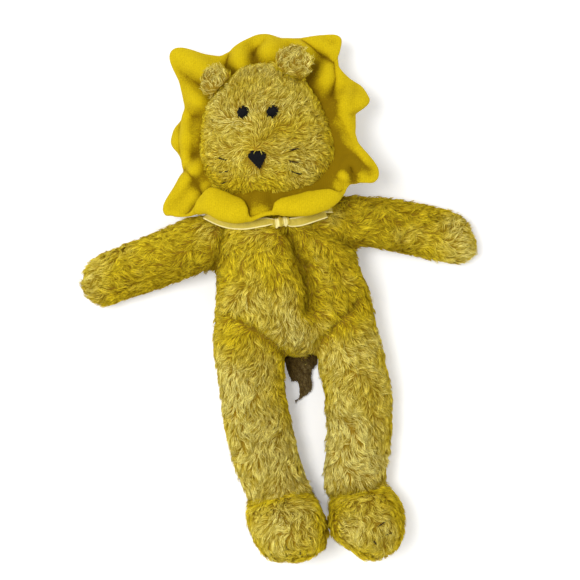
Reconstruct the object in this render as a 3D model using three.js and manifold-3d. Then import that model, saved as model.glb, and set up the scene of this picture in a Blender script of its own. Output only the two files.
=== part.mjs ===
// A floppy plush lion that lies on its back, in millimetres.
// +Z is up out of its belly and +Y runs from its rump to its head. Left and right are the lion's own,
// so its left side is on +X. The origin is on the flat of its back, which rests on a table.

import * as THREE from 'three';
import { mergeVertices } from 'three/addons/utils/BufferGeometryUtils.js';
import Module from 'manifold-3d';

const wasm = await Module();
wasm.setup();

// Cloth and the room between layers
const clothWall = 1.1;
const layerGap = 0.3;
const seamHalf = 1.9;
const seamGap = 0.6;
const seamTrimAngle = 32;
const seamWidthShare = 0.84;
// How far the toy's weight presses its underside flat, and how far a cutter runs on past what it cuts
const restFlat = 0.5;
const overrun = 6;

// How finely the forms are drawn
const formSides = 16;
const bodySides = 20;
const tailSides = 12;
const threadSides = 6;
const ballSides = 12;
const ballRows = 8;
const endRings = 5;
const middleRings = 3;
const ribbonSteps = 10;

// Torso
const torsoLength = 100;
const crotchY = -46;
const torsoHalfWidth = 53;
const torsoHalfDepth = 31;
const rumpWidthRun = 18;
const rumpDepthRun = 38;
const crotchBlunt = 0.3;
const neckHeight = 34;
const torsoWaistShare = 0.875;
const torsoWidthShares = [
  1, 1, 0.99, 0.97, 0.94, 0.905, 0.88, torsoWaistShare, torsoWaistShare, 0.79, 0.43,
];
const torsoDepthShares = [1, 1, 1, 1, 0.99, 0.98, 0.965, 0.94, 0.89, 0.8, 0.62];
const torsoLiftShare = 0.6;
const torsoFullness = 2.25;
const rumpWidthPower = 5;
const seatPouchLength = 22;

// Head, in its own frame: its origin is on the line that it turns about, +Y to the crown, +Z to the face
const neckX = -5;
const neckBelowTop = 4;
const neckY = crotchY + torsoLength - neckBelowTop;
const headAxisHeight = 42.5;
const headTilt = 10;
const headTurn = 10;
const neckGap = 0.4;
const neckTuck = 2;
const headLength = 100;
const headHalfWidth = 44.5;
const headBack = 43;
const headFront = 40;
const crownRun = 26;
const headFullness = 2.1;
const headWidthShares = [0.55, 0.76, 0.93, 1, 0.99, 0.93, 0.83, 0.7, 0.58];
const headBackShares = [0.66, 0.78, 0.9, 0.98, 1, 1, 0.95, 0.84, 0.66];
const headFrontShares = [0.3, 0.62, 0.93, 1, 0.95, 0.87, 0.79, 0.66, 0.5];
const muzzleRise = 7;
const muzzleUpShare = 0.34;
const muzzleSpread = 15;

// Face, whose places are shares of the head's length and half width
const eyeSpacing = 20.8;
const eyeUpShare = 0.67;
const eyeRadius = 4.1;
const eyeRise = 2.4;
const noseUpShare = 0.36;
const noseWidth = 12;
const noseHeight = 11.6;
const noseRise = 3;
const noseNotchShare = 0.8;
const threadRadius = 0.6;
const whiskerInnerShare = 0.46;
const whiskerOuterShare = 0.63;
const whiskerUpShares = [0.39, 0.32, 0.26];
const whiskerRises = [2, 0, -2.5];
const whiskerDrop = { left: 0, right: 6 };

// Ears
const earHalfWidth = 12;
const earHalfHeight = 12.5;
const earHalfThick = 4.6;
const earDish = 2.4;
const earDishShare = 0.72;
const earForward = 10;
const earPlaceShares = { left: [0.427, 0.97], right: [-0.73, 0.86] };

// Mane, a ring of two layers of velour with nine points, whose angles run from the lion's left over the crown
const maneThick = 2.4;
const maneTuck = 2.5;
const maneMiddleY = 55;
const maneMiddleHeight = 6;
const maneSlope = 13;
const manePointLength = 38;
const maneValleyLength = 19;
const maneSteps = 6;
const maneSpokesPerPoint = 7;
const manePointPower = 1.15;
const maneFlopPower = 1.5;
const manePoints = [
  { angle: 142, reachShare: 1.02, flop: -8 },
  { angle: 95, reachShare: 1, flop: -42 },
  { angle: 52, reachShare: 1, flop: -16 },
  { angle: 14, reachShare: 0.98, flop: -38 },
  { angle: -22, reachShare: 1, flop: -14 },
  { angle: -62, reachShare: 1.05, flop: 150 },
  { angle: -104, reachShare: 1.05, flop: 158 },
  { angle: -144, reachShare: 1.12, flop: -6 },
  { angle: -181, reachShare: 0.98, flop: -42 },
];

// Arms, from the flat shoulder seam outwards
const armLength = 87;
const armHalfWidth = 18.3;
const armHalfDepth = 15.5;
const shoulderBelowNeck = 15.5;
const shoulderY = neckY - shoulderBelowNeck;
const shoulderHeight = 30.5;
const shoulderRun = 26;
const pawRun = 16;
const armWidthShares = [0.94, 0.98, 1, 1, 0.98, 0.97, 0.95];
const armDepthShares = [0.9, 0.98, 1, 1, 0.98, 1, 0.98];
const armDrops = { left: 26, right: 9 };
const armBowShares = [0, 0.1, 0.24, 0.42, 0.6, 0.8, 1];

// Legs, from the flat hip seam to the flat ankle seam
const legLength = 93;
const legHalfWidth = 22;
const legHalfDepth = 20.5;
const hipX = 35.5;
const hipHeight = 30.5;
const hipRun = 27;
const ankleRun = 19;
const ankleGap = 0.8;
const legWidthShares = [0.95, 1, 1.02, 1.02, 1, 0.97, 0.94];
const legDepthShares = [1, 1, 1, 1, 0.98, 0.95, 0.92];
const legDrifts = { left: 13, right: 4 };
const legBowShares = [0, 0.06, 0.16, 0.32, 0.54, 0.78, 1];

// Feet, from the heel up to the toes
const footHeight = 63;
const footHalfWidth = 24;
const footHalfDepth = 23.5;
const heelRun = 21;
const toeRun = 24;
const footInward = { left: 0, right: 5 };
const ankleSlotHalf = 13;
const footWidthShares = [0.86, 0.94, 1, 1.02, 1];
const footDepthShares = [0.9, 1, 1, 0.98, 0.95];
const footLeanShares = [0.04, 0, 0, 0.03, 0.1];
const clawLength = 8;
const clawPlaces = {
  left: [[12, -1, 25], [13, -9, 5], [5, -14, -60]],
  right: [[-5, -6, 88], [12.5, -6, 105], [4, -14, 80]],
};

// Tail
const tailLength = 16;
const tailRadius = 4.6;
const tailX = 2.5;
const tailY = -40.2;
const tailHeight = 11.4;
const tuftLength = 27;
const tuftHalfWidth = 8;
const tuftHalfDepth = 5.6;
const tuftDrift = -9;
const tuftDriftPower = 1.5;
const tuftRootShare = 0.25;
const tuftTipWideShare = 0.7;
const tuftTipDeepShare = 0.6;

// Neck ribbon. Its knot and its tails have places across the chest and below the neck.
const ribbonWidth = 6.4;
const ribbonThick = 0.7;
const ribbonBelowNeck = 0.8;
const knotPlace = [-1.4, -7.6];
const knotHalf = [4.6, 3.6, 2.6];
const ribbonTails = {
  left: [[3.5, -7.4], [12, -9.5], [21, -9], [29.5, -7.2]],
  right: [[-5.5, -8], [-16, -10.4], [-27, -8.2], [-38, -3]],
};

const colours = {
  plush: 0xa8902a,
  headPlush: 0xb49c33,
  mane: 0xc9b012,
  filling: 0xf1efe6,
  pouch: 0xd8d2c0,
  black: 0x0a0d0a,
  brown: 0x4e370d,
  ribbon: 0xd5c263,
};

// Solids: a closed geometry becomes one that can be cut and joined, and comes back as a geometry.
function solidOf(geometry) {
  const bare = geometry.clone();
  bare.deleteAttribute('normal');
  bare.deleteAttribute('uv');
  const merged = mergeVertices(bare);
  return new wasm.Manifold(new wasm.Mesh({
    numProp: 3,
    vertProperties: new Float32Array(merged.attributes.position.array),
    triVerts: new Uint32Array(merged.index.array),
  }));
}

function geometryOf(solid) {
  const mesh = solid.getMesh();
  const geometry = new THREE.BufferGeometry();
  geometry.setAttribute('position', new THREE.BufferAttribute(new Float32Array(mesh.vertProperties), 3));
  geometry.setIndex(new THREE.BufferAttribute(new Uint32Array(mesh.triVerts), 1));
  return geometry;
}

function cut(geometry, ...cutters) {
  let solid = solidOf(geometry);
  for (const cutter of cutters) {
    solid = solid.subtract(solidOf(cutter));
  }
  return geometryOf(solid);
}

function common(geometry, other) {
  return geometryOf(solidOf(geometry).intersect(solidOf(other)));
}

function volumeOf(points, faces) {
  let volume = 0;
  for (let i = 0; i < faces.length; i += 3) {
    const [a, b, c] = [points[faces[i]], points[faces[i + 1]], points[faces[i + 2]]];
    volume += a.clone().cross(b).dot(c) / 6;
  }
  return volume;
}

function geometryFrom(points, faces) {
  if (volumeOf(points, faces) < 0) {
    faces.reverse();
  }
  const geometry = new THREE.BufferGeometry();
  geometry.setFromPoints(points);
  geometry.setIndex(faces);
  return geometry;
}

// Stuffed forms. Each is a row of rings along its length, closed at both ends.
// At even stations it has a half width, its depth above and below the middle line, and the middle
// line's own place to the side and in height. An end is round, sewn flat, or left to be cut.
function stuffedForm({ length, stations, start, end, fullness = 2, sides = formSides, swell, place }) {
  return {
    length,
    girths: new THREE.CatmullRomCurve3(
      stations.map((s) => new THREE.Vector3(s.wide, s.above, s.below)), false, 'catmullrom'),
    middles: new THREE.CatmullRomCurve3(
      stations.map((s) => new THREE.Vector3(s.side ?? 0, s.height, 0)), false, 'catmullrom'),
    start,
    end,
    fullness,
    sides,
    swell,
    place,
  };
}

const roundEnd = (wideRun, deepRun, widePower = 2, blunt = 0) => (
  { kind: 'round', wideRun, deepRun, widePower, blunt });
const flatSeam = (run) => ({ kind: 'flat', run });
const cutEnd = () => ({ kind: 'cut' });

function rounding(share, power) {
  const rest = 1 - THREE.MathUtils.clamp(share, 0, 1);
  return (1 - rest ** power) ** (1 / power);
}

function signedPower(value, power) {
  return Math.sign(value) * Math.abs(value) ** power;
}

function ringAt(form, distance, inset) {
  const t = THREE.MathUtils.clamp(distance / form.length, 0, 1);
  const middle = form.middles.getPoint(t);
  let [wide, above, below] = form.girths.getPoint(t).toArray();
  const ends = [[form.start, distance], [form.end, form.length - distance]];
  for (const [end, reach] of ends.filter(([e]) => e.kind === 'flat')) {
    const open = Math.sin(Math.PI / 2 * THREE.MathUtils.clamp(reach / end.run, 0, 1));
    wide *= seamWidthShare + (1 - seamWidthShare) * open;
    above = seamHalf + (above - seamHalf) * open;
    below = seamHalf + (below - seamHalf) * open;
  }
  wide -= inset;
  above -= inset;
  below -= inset;
  for (const [end, reach] of ends.filter(([e]) => e.kind === 'round')) {
    const deep = rounding((reach - inset) / (end.deepRun - inset), 2);
    wide *= rounding((reach - inset) / (end.wideRun - inset), end.widePower);
    above *= deep;
    below *= deep;
  }
  const ring = [];
  for (let k = 0; k < form.sides; k++) {
    const angle = 2 * Math.PI * k / form.sides;
    const across = wide * signedPower(Math.cos(angle), 2 / form.fullness);
    const rise = signedPower(Math.sin(angle), 2 / form.fullness);
    const height = rise * (rise > 0 ? above : below);
    const extra = form.swell ? form.swell(distance, across, rise) : 0;
    ring.push(form.place(distance, middle.x + across, middle.y + height + extra));
  }
  return ring;
}

function endStops(end, inset, count) {
  const stops = [];
  if (end.kind === 'round') {
    const run = Math.max(end.wideRun, end.deepRun) - inset;
    if (end.blunt) {
      stops.push(inset + end.blunt);
    }
    for (let k = 1; k <= count; k++) {
      stops.push(inset + run * (1 - Math.cos(Math.PI / 2 * k / count)));
    }
  } else if (end.kind === 'flat') {
    for (let k = 0; k <= count - 1; k++) {
      stops.push(end.run * k / (count - 1));
    }
  } else {
    stops.push(0);
  }
  return stops;
}

// The form, or one that lies inset within it, from one distance along it to another.
function formGeometry(form, inset = 0, from = 0, to = form.length) {
  const first = endStops(form.start, inset, endRings);
  const last = endStops(form.end, inset, endRings).map((stop) => form.length - stop).reverse();
  const between = [];
  for (let k = 1; k <= middleRings; k++) {
    between.push(THREE.MathUtils.lerp(first.at(-1), last[0], k / (middleRings + 1)));
  }
  const near = form.length / 1000;
  let stops = [...first, ...between, ...last].filter((stop) => stop > from + near && stop < to - near);
  const closesAtStart = form.start.kind === 'round' && from <= inset;
  const closesAtEnd = form.end.kind === 'round' && to >= form.length - inset;
  stops = [...(closesAtStart ? [] : [from]), ...stops, ...(closesAtEnd ? [] : [to])];
  const points = stops.flatMap((stop) => ringAt(form, stop, inset));
  const faces = [];
  const sides = form.sides;
  for (let i = 0; i + 1 < stops.length; i++) {
    for (let k = 0; k < sides; k++) {
      const a = i * sides + k;
      const b = i * sides + (k + 1) % sides;
      faces.push(a, b, b + sides, a, b + sides, a + sides);
    }
  }
  const tips = [closesAtStart ? inset : from, closesAtEnd ? form.length - inset : to];
  for (const [index, tip] of tips.entries()) {
    const middle = form.middles.getPoint(THREE.MathUtils.clamp(tip / form.length, 0, 1));
    points.push(form.place(tip, middle.x, middle.y));
    const ring = index * (stops.length - 1) * sides;
    for (let k = 0; k < sides; k++) {
      const edge = [ring + k, ring + (k + 1) % sides];
      faces.push(points.length - 1, ...(index ? edge : edge.reverse()));
    }
  }
  return geometryFrom(points, faces);
}

const fillingInset = clothWall + layerGap;

// A cutting block that takes away all that lies below the table
function tableBlock() {
  const side = 2 * (torsoLength + headLength + legLength + footHeight);
  const block = new THREE.BoxGeometry(side, side, overrun);
  return block.translate(0, 0, -overrun / 2);
}

// Where a straight line towards -axis meets a piece, with the surface's direction there
function surfaceAt(geometry, x, y) {
  const target = new THREE.Mesh(geometry, new THREE.MeshBasicMaterial({ side: THREE.DoubleSide }));
  const height = 2 * (headFront + headAxisHeight);
  const hit = (dx, dy) => {
    const ray = new THREE.Raycaster(
      new THREE.Vector3(x + dx, y + dy, height), new THREE.Vector3(0, 0, -1));
    return ray.intersectObject(target)[0].point;
  };
  const step = 2 * clothWall;
  const point = hit(0, 0);
  const normal = hit(step, 0).sub(hit(-step, 0)).cross(hit(0, step).sub(hit(0, -step))).normalize();
  return { point, normal };
}

function seated(geometry, point, normal) {
  const turn = new THREE.Quaternion().setFromUnitVectors(new THREE.Vector3(0, 0, 1), normal);
  return geometry.applyQuaternion(turn).translate(...point.toArray());
}

// A straight stitch of thread that lies on a surface between two places
function stitch(surface, grown, from, to) {
  const [a, b] = [from, to].map(([x, y]) => {
    const { point, normal } = surfaceAt(surface, x, y);
    return point.addScaledVector(normal, threadRadius + layerGap);
  });
  const thread = new THREE.CylinderGeometry(threadRadius, threadRadius, a.distanceTo(b), threadSides);
  const turn = new THREE.Quaternion().setFromUnitVectors(
    new THREE.Vector3(0, 1, 0), b.clone().sub(a).normalize());
  thread.applyQuaternion(turn).translate(...a.clone().add(b).divideScalar(2).toArray());
  return cut(thread, grown);
}

function piece(name, geometry, colour, roughness = 0.95) {
  const shown = geometry.index ? geometry.toNonIndexed() : geometry;
  shown.computeVertexNormals();
  const mesh = new THREE.Mesh(shown, new THREE.MeshStandardMaterial({ color: colour, roughness, metalness: 0 }));
  mesh.name = name;
  return mesh;
}

const lion = new THREE.Group();
const hands = { left: 1, right: -1 };

// The head's frame: its line of turning rises out of the neck and leans towards the lion's left
const head = new THREE.Group();
head.position.set(neckX, neckY, headAxisHeight);
const lean = new THREE.Quaternion().setFromAxisAngle(
  new THREE.Vector3(0, 0, 1), THREE.MathUtils.degToRad(-headTilt));
const turned = new THREE.Quaternion().setFromAxisAngle(
  new THREE.Vector3(0, 1, 0), THREE.MathUtils.degToRad(-headTurn));
head.quaternion.copy(lean).multiply(turned);
head.updateMatrix();
lion.add(head);

// Torso: pear-shaped, flat along its back, rounded at the rump and open at the neck
function torsoForm() {
  const stations = torsoWidthShares.map((share, i) => {
    const t = i / (torsoWidthShares.length - 1);
    const deep = torsoHalfDepth * torsoDepthShares[i];
    const lift = THREE.MathUtils.smoothstep(t, torsoLiftShare, 1);
    const height = THREE.MathUtils.lerp(deep - restFlat, neckHeight, lift);
    return { wide: torsoHalfWidth * share, above: deep, below: deep, height };
  });
  return stuffedForm({
    length: torsoLength,
    stations,
    start: roundEnd(rumpWidthRun, rumpDepthRun, rumpWidthPower, crotchBlunt),
    end: cutEnd(),
    fullness: torsoFullness,
    sides: bodySides,
    place: (along, side, height) => new THREE.Vector3(side, crotchY + along, height),
  });
}

// All that lies on the head's side of the neck seam, for cutting the torso
function beyondNeck(margin) {
  const size = 4 * torsoHalfWidth;
  const block = new THREE.BoxGeometry(size, size, size);
  block.translate(0, size / 2 - margin, 0);
  return block.applyQuaternion(lean).translate(...head.position.toArray());
}

const torso = torsoForm();
const torsoOuter = formGeometry(torso);
const torsoGrown = (room) => formGeometry(torso, -room);

function addTorso() {
  const hollow = formGeometry(torso, clothWall, 0, torsoLength + overrun);
  const filling = formGeometry(torso, fillingInset);
  const seat = (length) => {
    const size = 4 * torsoHalfWidth;
    return new THREE.BoxGeometry(size, size, size).translate(0, crotchY + length - size / 2, 0);
  };
  lion.add(piece('torso_skin', cut(torsoOuter, hollow, beyondNeck(0), tableBlock()), colours.plush));
  const upper = cut(filling, seat(seatPouchLength + layerGap), beyondNeck(clothWall));
  lion.add(piece('torso_stuffing', upper, colours.filling));
  lion.add(piece('seat_pellet_pouch', common(filling, seat(seatPouchLength)), colours.pouch));
}

// Head: a pear lying on its back, widest at the cheeks, with a low muzzle
function headForm() {
  const stations = headWidthShares.map((share, i) => ({
    wide: headHalfWidth * share,
    above: headFront * headFrontShares[i],
    below: headBack * headBackShares[i],
    height: 0,
  }));
  const muzzle = (along, across, rise) => {
    const up = along - neckTuck - headLength * muzzleUpShare;
    const away = (up / muzzleSpread) ** 2 + (across / muzzleSpread) ** 2;
    return muzzleRise * Math.exp(-away) * Math.max(rise, 0);
  };
  return stuffedForm({
    length: headLength,
    stations,
    start: cutEnd(),
    end: roundEnd(crownRun, crownRun),
    fullness: headFullness,
    sides: bodySides,
    swell: muzzle,
    place: (along, side, height) => new THREE.Vector3(side, along - neckTuck, height),
  });
}

const face = headForm();
const headOuter = formGeometry(face);
const headGrown = formGeometry(face, -layerGap);

// What the head's own frame holds below the neck seam and below the table, for cutting
function belowNeckSeam(margin) {
  const size = 4 * headHalfWidth;
  return new THREE.BoxGeometry(size, size, size).translate(0, -size / 2 + neckGap + margin, 0);
}

const tableUnderHead = tableBlock().applyMatrix4(head.matrix.clone().invert());

function addHead() {
  const hollow = formGeometry(face, clothWall, -overrun, headLength);
  const skin = cut(headOuter, hollow, belowNeckSeam(0), tableUnderHead);
  const filling = cut(formGeometry(face, fillingInset), belowNeckSeam(clothWall));
  head.add(piece('head_skin', skin, colours.headPlush));
  head.add(piece('head_stuffing', filling, colours.filling));
}

function addEyes() {
  for (const [name, hand] of Object.entries(hands)) {
    const { point, normal } = surfaceAt(headOuter, hand * eyeSpacing / 2, headLength * eyeUpShare);
    const eye = new THREE.SphereGeometry(1, ballSides, ballRows).scale(eyeRadius, eyeRadius, eyeRise);
    head.add(piece(`eye_${name}`, cut(seated(eye, point, normal), headGrown), colours.black, 0.4));
  }
}

// The nose is a triangle with round corners that points down, and is crowned like a small pillow.
function addNose() {
  const shape = new THREE.Shape();
  const [w, h] = [noseWidth / 2, noseHeight / 2];
  shape.moveTo(0, -h);
  shape.quadraticCurveTo(w, -h / 3, w, h / 2);
  shape.quadraticCurveTo(w, h, w / 2, h);
  shape.quadraticCurveTo(0, h * noseNotchShare, -w / 2, h);
  shape.quadraticCurveTo(-w, h, -w, h / 2);
  shape.quadraticCurveTo(-w, -h / 3, 0, -h);
  const bevel = noseRise / 2;
  const nose = new THREE.ExtrudeGeometry(shape, {
    depth: noseRise, curveSegments: 5, bevelThickness: bevel, bevelSize: bevel, bevelOffset: -bevel,
    bevelSegments: 3,
  });
  nose.translate(0, 0, -bevel);
  const { point, normal } = surfaceAt(headOuter, 0, headLength * noseUpShare);
  head.add(piece('nose', cut(seated(nose, point, normal), headGrown), colours.black, 0.5));
}

function addWhiskers() {
  for (const [name, hand] of Object.entries(hands)) {
    for (const [i, upShare] of whiskerUpShares.entries()) {
      const y = headLength * upShare - whiskerDrop[name];
      const from = [hand * headHalfWidth * whiskerInnerShare, y];
      const to = [hand * headHalfWidth * whiskerOuterShare, y + whiskerRises[i]];
      head.add(piece(`whisker_${name}_${i + 1}`, stitch(headOuter, headGrown, from, to), colours.brown));
    }
  }
}

// Each ear is a thick round flap, dished in front, whose foot follows the head.
function addEars() {
  for (const [name, [outShare, upShare]] of Object.entries(earPlaceShares)) {
    const ear = new THREE.SphereGeometry(1, ballSides, ballRows).scale(
      earHalfWidth, earHalfHeight, earHalfThick);
    const dish = new THREE.SphereGeometry(1, ballSides, ballRows).scale(
      earHalfWidth * earDishShare, earHalfHeight * earDishShare, 2 * earDish);
    dish.translate(0, 0, earHalfThick + earDish);
    const flap = cut(ear, dish).translate(headHalfWidth * outShare, headLength * upShare, earForward);
    head.add(piece(`ear_${name}`, cut(flap, headGrown), colours.headPlush));
  }
}

// Mane. At any angle round the face it has a length from its seam to its edge and a flop, which is how
// far the cloth has turned, backwards or forwards, by the time it reaches its edge.
function maneAt(angle) {
  const sorted = [...manePoints].sort((a, b) => a.angle - b.angle);
  const wrapped = [...sorted, { ...sorted[0], angle: sorted[0].angle + 360 }];
  const index = sorted.findIndex((point, i) => angle >= point.angle && angle < wrapped[i + 1].angle);
  const [before, after] = [wrapped[index], wrapped[index + 1]];
  const t = (angle - before.angle) / (after.angle - before.angle);
  const smooth = THREE.MathUtils.smoothstep(t, 0, 1);
  const point = 1 - Math.sin(Math.PI * t) ** manePointPower;
  const reach = THREE.MathUtils.lerp(before.reachShare, after.reachShare, smooth);
  return {
    length: THREE.MathUtils.lerp(maneValleyLength, manePointLength * reach, point),
    flop: THREE.MathUtils.degToRad(THREE.MathUtils.lerp(before.flop, after.flop, smooth)),
  };
}

// How far from the mane's middle the head's side lies, in one direction and at one height
function headSideAt(direction, height) {
  const target = new THREE.Mesh(headOuter, new THREE.MeshBasicMaterial({ side: THREE.DoubleSide }));
  const start = new THREE.Vector3(0, maneMiddleY, height).addScaledVector(direction, 2 * headLength);
  const ray = new THREE.Raycaster(start, direction.clone().negate());
  return 2 * headLength - ray.intersectObject(target)[0].distance;
}

function addMane() {
  const spokes = maneSpokesPerPoint * manePoints.length;
  const firstAngle = Math.min(...manePoints.map((point) => point.angle));
  const up = new THREE.Vector3(0, 0, 1);
  const [front, back] = [[], []];
  for (let i = 0; i < spokes; i++) {
    const degrees = firstAngle + 360 * i / spokes;
    const angle = THREE.MathUtils.degToRad(degrees);
    const outwards = new THREE.Vector3(Math.cos(angle), Math.sin(angle), 0);
    const height = maneMiddleHeight - maneSlope * Math.sin(angle);
    const { length, flop } = maneAt(degrees);
    const at = outwards.clone().multiplyScalar(headSideAt(outwards, height) - maneTuck);
    at.add(new THREE.Vector3(0, maneMiddleY, height));
    for (let k = 0; k <= maneSteps; k++) {
      const bend = flop * (k / maneSteps) ** maneFlopPower;
      const along = outwards.clone().multiplyScalar(Math.cos(bend)).addScaledVector(up, Math.sin(bend));
      const normal = up.clone().multiplyScalar(Math.cos(bend)).addScaledVector(outwards, -Math.sin(bend));
      front.push(at.clone().addScaledVector(normal, maneThick / 2));
      back.push(at.clone().addScaledVector(normal, -maneThick / 2));
      at.addScaledVector(along, (length + maneTuck) / maneSteps);
    }
  }
  const rows = maneSteps + 1;
  const points = [...front, ...back];
  const faces = [];
  const quad = (a, b, c, d) => faces.push(a, b, c, a, c, d);
  for (let i = 0; i < spokes; i++) {
    const here = i * rows;
    const next = (i + 1) % spokes * rows;
    const under = front.length;
    for (let k = 0; k < maneSteps; k++) {
      quad(here + k, here + k + 1, next + k + 1, next + k);
      quad(under + here + k, under + next + k, under + next + k + 1, under + here + k + 1);
    }
    quad(here, next, under + next, under + here);
    quad(here + maneSteps, under + here + maneSteps, under + next + maneSteps, next + maneSteps);
  }
  head.add(piece('mane', cut(geometryFrom(points, faces), headGrown), colours.mane));
}

// A limb's shares along its length, as the stations of a form that comes down to lie on the table
function limbStations(halfWidth, halfDepth, widthShares, depthShares, bowShares, drift, rootHeight) {
  return widthShares.map((share, i) => {
    const t = i / (widthShares.length - 1);
    const deep = halfDepth * depthShares[i];
    const lying = THREE.MathUtils.smoothstep(t, 0, 0.5);
    return {
      wide: halfWidth * share,
      above: deep,
      below: deep,
      side: drift * bowShares[i],
      height: THREE.MathUtils.lerp(rootHeight, deep - restFlat, lying),
    };
  });
}

// A limb folds forwards about its flat seam, so the seam's front edge is trimmed back to clear the body.
// The block takes away what lies on the body's side of a leaning plane through the seam's back edge.
function seamTrim(limb) {
  const size = 4 * armLength;
  const block = new THREE.BoxGeometry(size, size, size);
  block.translate(-size / 2, 0, 0);
  block.rotateY(THREE.MathUtils.degToRad(seamTrimAngle));
  const root = limb.middles.getPoint(0);
  const corner = limb.place(0, 0, root.y - seamHalf);
  const outwards = limb.place(1, 0, root.y).sub(limb.place(0, 0, root.y));
  const turn = Math.atan2(outwards.y, outwards.x);
  return block.rotateZ(turn).translate(...corner.toArray());
}

// The skin of a limb is open at its root, where it is sewn on, and its filling starts past the flat seam.
function addLimb(name, limb, fillFrom, fillTo) {
  const outer = formGeometry(limb);
  const hollow = formGeometry(limb, clothWall, -overrun, limb.length - clothWall);
  const filling = formGeometry(limb, fillingInset, fillFrom, fillTo);
  lion.add(piece(`${name}_skin`, cut(outer, hollow, tableBlock(), seamTrim(limb)), colours.plush));
  lion.add(piece(`${name}_stuffing`, filling, colours.filling));
}

const shoulderX = torsoHalfWidth * torsoWaistShare + seamGap;
const hipY = crotchY - seamGap;

function addArms() {
  for (const [name, hand] of Object.entries(hands)) {
    const stations = limbStations(armHalfWidth, armHalfDepth, armWidthShares, armDepthShares,
      armBowShares, -armDrops[name], shoulderHeight);
    const arm = stuffedForm({
      length: armLength,
      stations,
      start: flatSeam(shoulderRun),
      end: roundEnd(pawRun, pawRun),
      place: (along, side, height) => new THREE.Vector3(hand * (shoulderX + along), shoulderY + side, height),
    });
    addLimb(`arm_${name}`, arm, shoulderRun / (endRings - 1), armLength);
  }
}

function addLegs() {
  for (const [name, hand] of Object.entries(hands)) {
    const stations = limbStations(legHalfWidth, legHalfDepth, legWidthShares, legDepthShares,
      legBowShares, -legDrifts[name], hipHeight);
    const leg = stuffedForm({
      length: legLength,
      stations,
      start: flatSeam(hipRun),
      end: flatSeam(ankleRun),
      place: (along, side, height) => new THREE.Vector3(hand * (hipX + side), hipY - along, height),
    });
    addLimb(`leg_${name}`, leg, hipRun / (endRings - 1), legLength - ankleRun / (endRings - 1));
  }
}

// The ankle's height is the middle of the leg where it lies on the table.
const ankleHeight = legHalfDepth * legDepthShares.at(-1) - restFlat;
const ankleY = hipY - legLength;

function footForm(name, hand) {
  const x = hand * (hipX - legDrifts[name] - footInward[name]);
  const widest = footHalfDepth * Math.max(...footDepthShares);
  const y = ankleY - ankleGap - widest;
  const stations = footWidthShares.map((share, i) => ({
    wide: footHalfWidth * share,
    above: footHalfDepth * footDepthShares[i],
    below: footHalfDepth * footDepthShares[i],
    height: footHeight * footLeanShares[i],
  }));
  return stuffedForm({
    length: footHeight,
    stations,
    start: roundEnd(heelRun, heelRun),
    end: roundEnd(toeRun, toeRun),
    fullness: 2.2,
    place: (along, side, height) => new THREE.Vector3(x + side, y - height, along - restFlat),
  });
}

function addFeet() {
  for (const [name, hand] of Object.entries(hands)) {
    const foot = footForm(name, hand);
    const outer = formGeometry(foot);
    const grown = formGeometry(foot, -layerGap);
    const middle = foot.place(0, 0, 0);
    const slot = new THREE.BoxGeometry(2 * ankleSlotHalf, 2 * footHalfDepth, 2 * (seamHalf - clothWall));
    slot.translate(middle.x, middle.y + footHalfDepth, ankleHeight);
    const skin = cut(outer, formGeometry(foot, clothWall), slot, tableBlock());
    lion.add(piece(`foot_${name}_skin`, skin, colours.plush));
    lion.add(piece(`foot_${name}_pellet_pouch`, formGeometry(foot, fillingInset), colours.pouch));
    for (const [i, [dx, dy, degrees]] of clawPlaces[name].entries()) {
      const angle = THREE.MathUtils.degToRad(degrees);
      const half = [Math.cos(angle) * clawLength / 2, Math.sin(angle) * clawLength / 2];
      const from = [middle.x + dx - half[0], middle.y + dy - half[1]];
      const to = [middle.x + dx + half[0], middle.y + dy + half[1]];
      lion.add(piece(`claw_${name}_${i + 1}`, stitch(outer, grown, from, to), colours.brown));
    }
  }
}

// Tail: a short plush stub under the rump, then its brown tuft
function addTail() {
  const shares = [0, 0.25, 0.5, 0.75, 1];
  const stub = stuffedForm({
    length: tailLength,
    stations: shares.map((t) => ({
      wide: tailRadius,
      above: tailRadius,
      below: tailRadius,
      height: THREE.MathUtils.lerp(tailHeight, tailRadius - restFlat, THREE.MathUtils.smoothstep(t, 0, 1)),
    })),
    start: flatSeam(tailLength / 2),
    end: cutEnd(),
    sides: tailSides,
    place: (along, side, height) => new THREE.Vector3(tailX + side, tailY - along, height),
  });
  const tuft = stuffedForm({
    length: tuftLength,
    stations: shares.map((t) => {
      const spread = Math.sin(Math.PI * Math.min(1, tuftRootShare + t));
      const deep = THREE.MathUtils.lerp(tailRadius, tuftHalfDepth, Math.sin(Math.PI * t));
      return {
        wide: THREE.MathUtils.lerp(tailRadius, tuftHalfWidth, spread),
        above: deep,
        below: deep,
        side: tuftDrift * t ** tuftDriftPower,
        height: deep - restFlat,
      };
    }),
    start: cutEnd(),
    end: roundEnd(tuftLength * tuftTipWideShare, tuftLength * tuftTipDeepShare),
    sides: tailSides,
    place: (along, side, height) => new THREE.Vector3(
      tailX + side, tailY - tailLength - layerGap - along, height),
  });
  lion.add(piece('tail', cut(formGeometry(stub), tableBlock()), colours.plush));
  lion.add(piece('tail_tuft', cut(formGeometry(tuft), tableBlock()), colours.brown));
}

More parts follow.
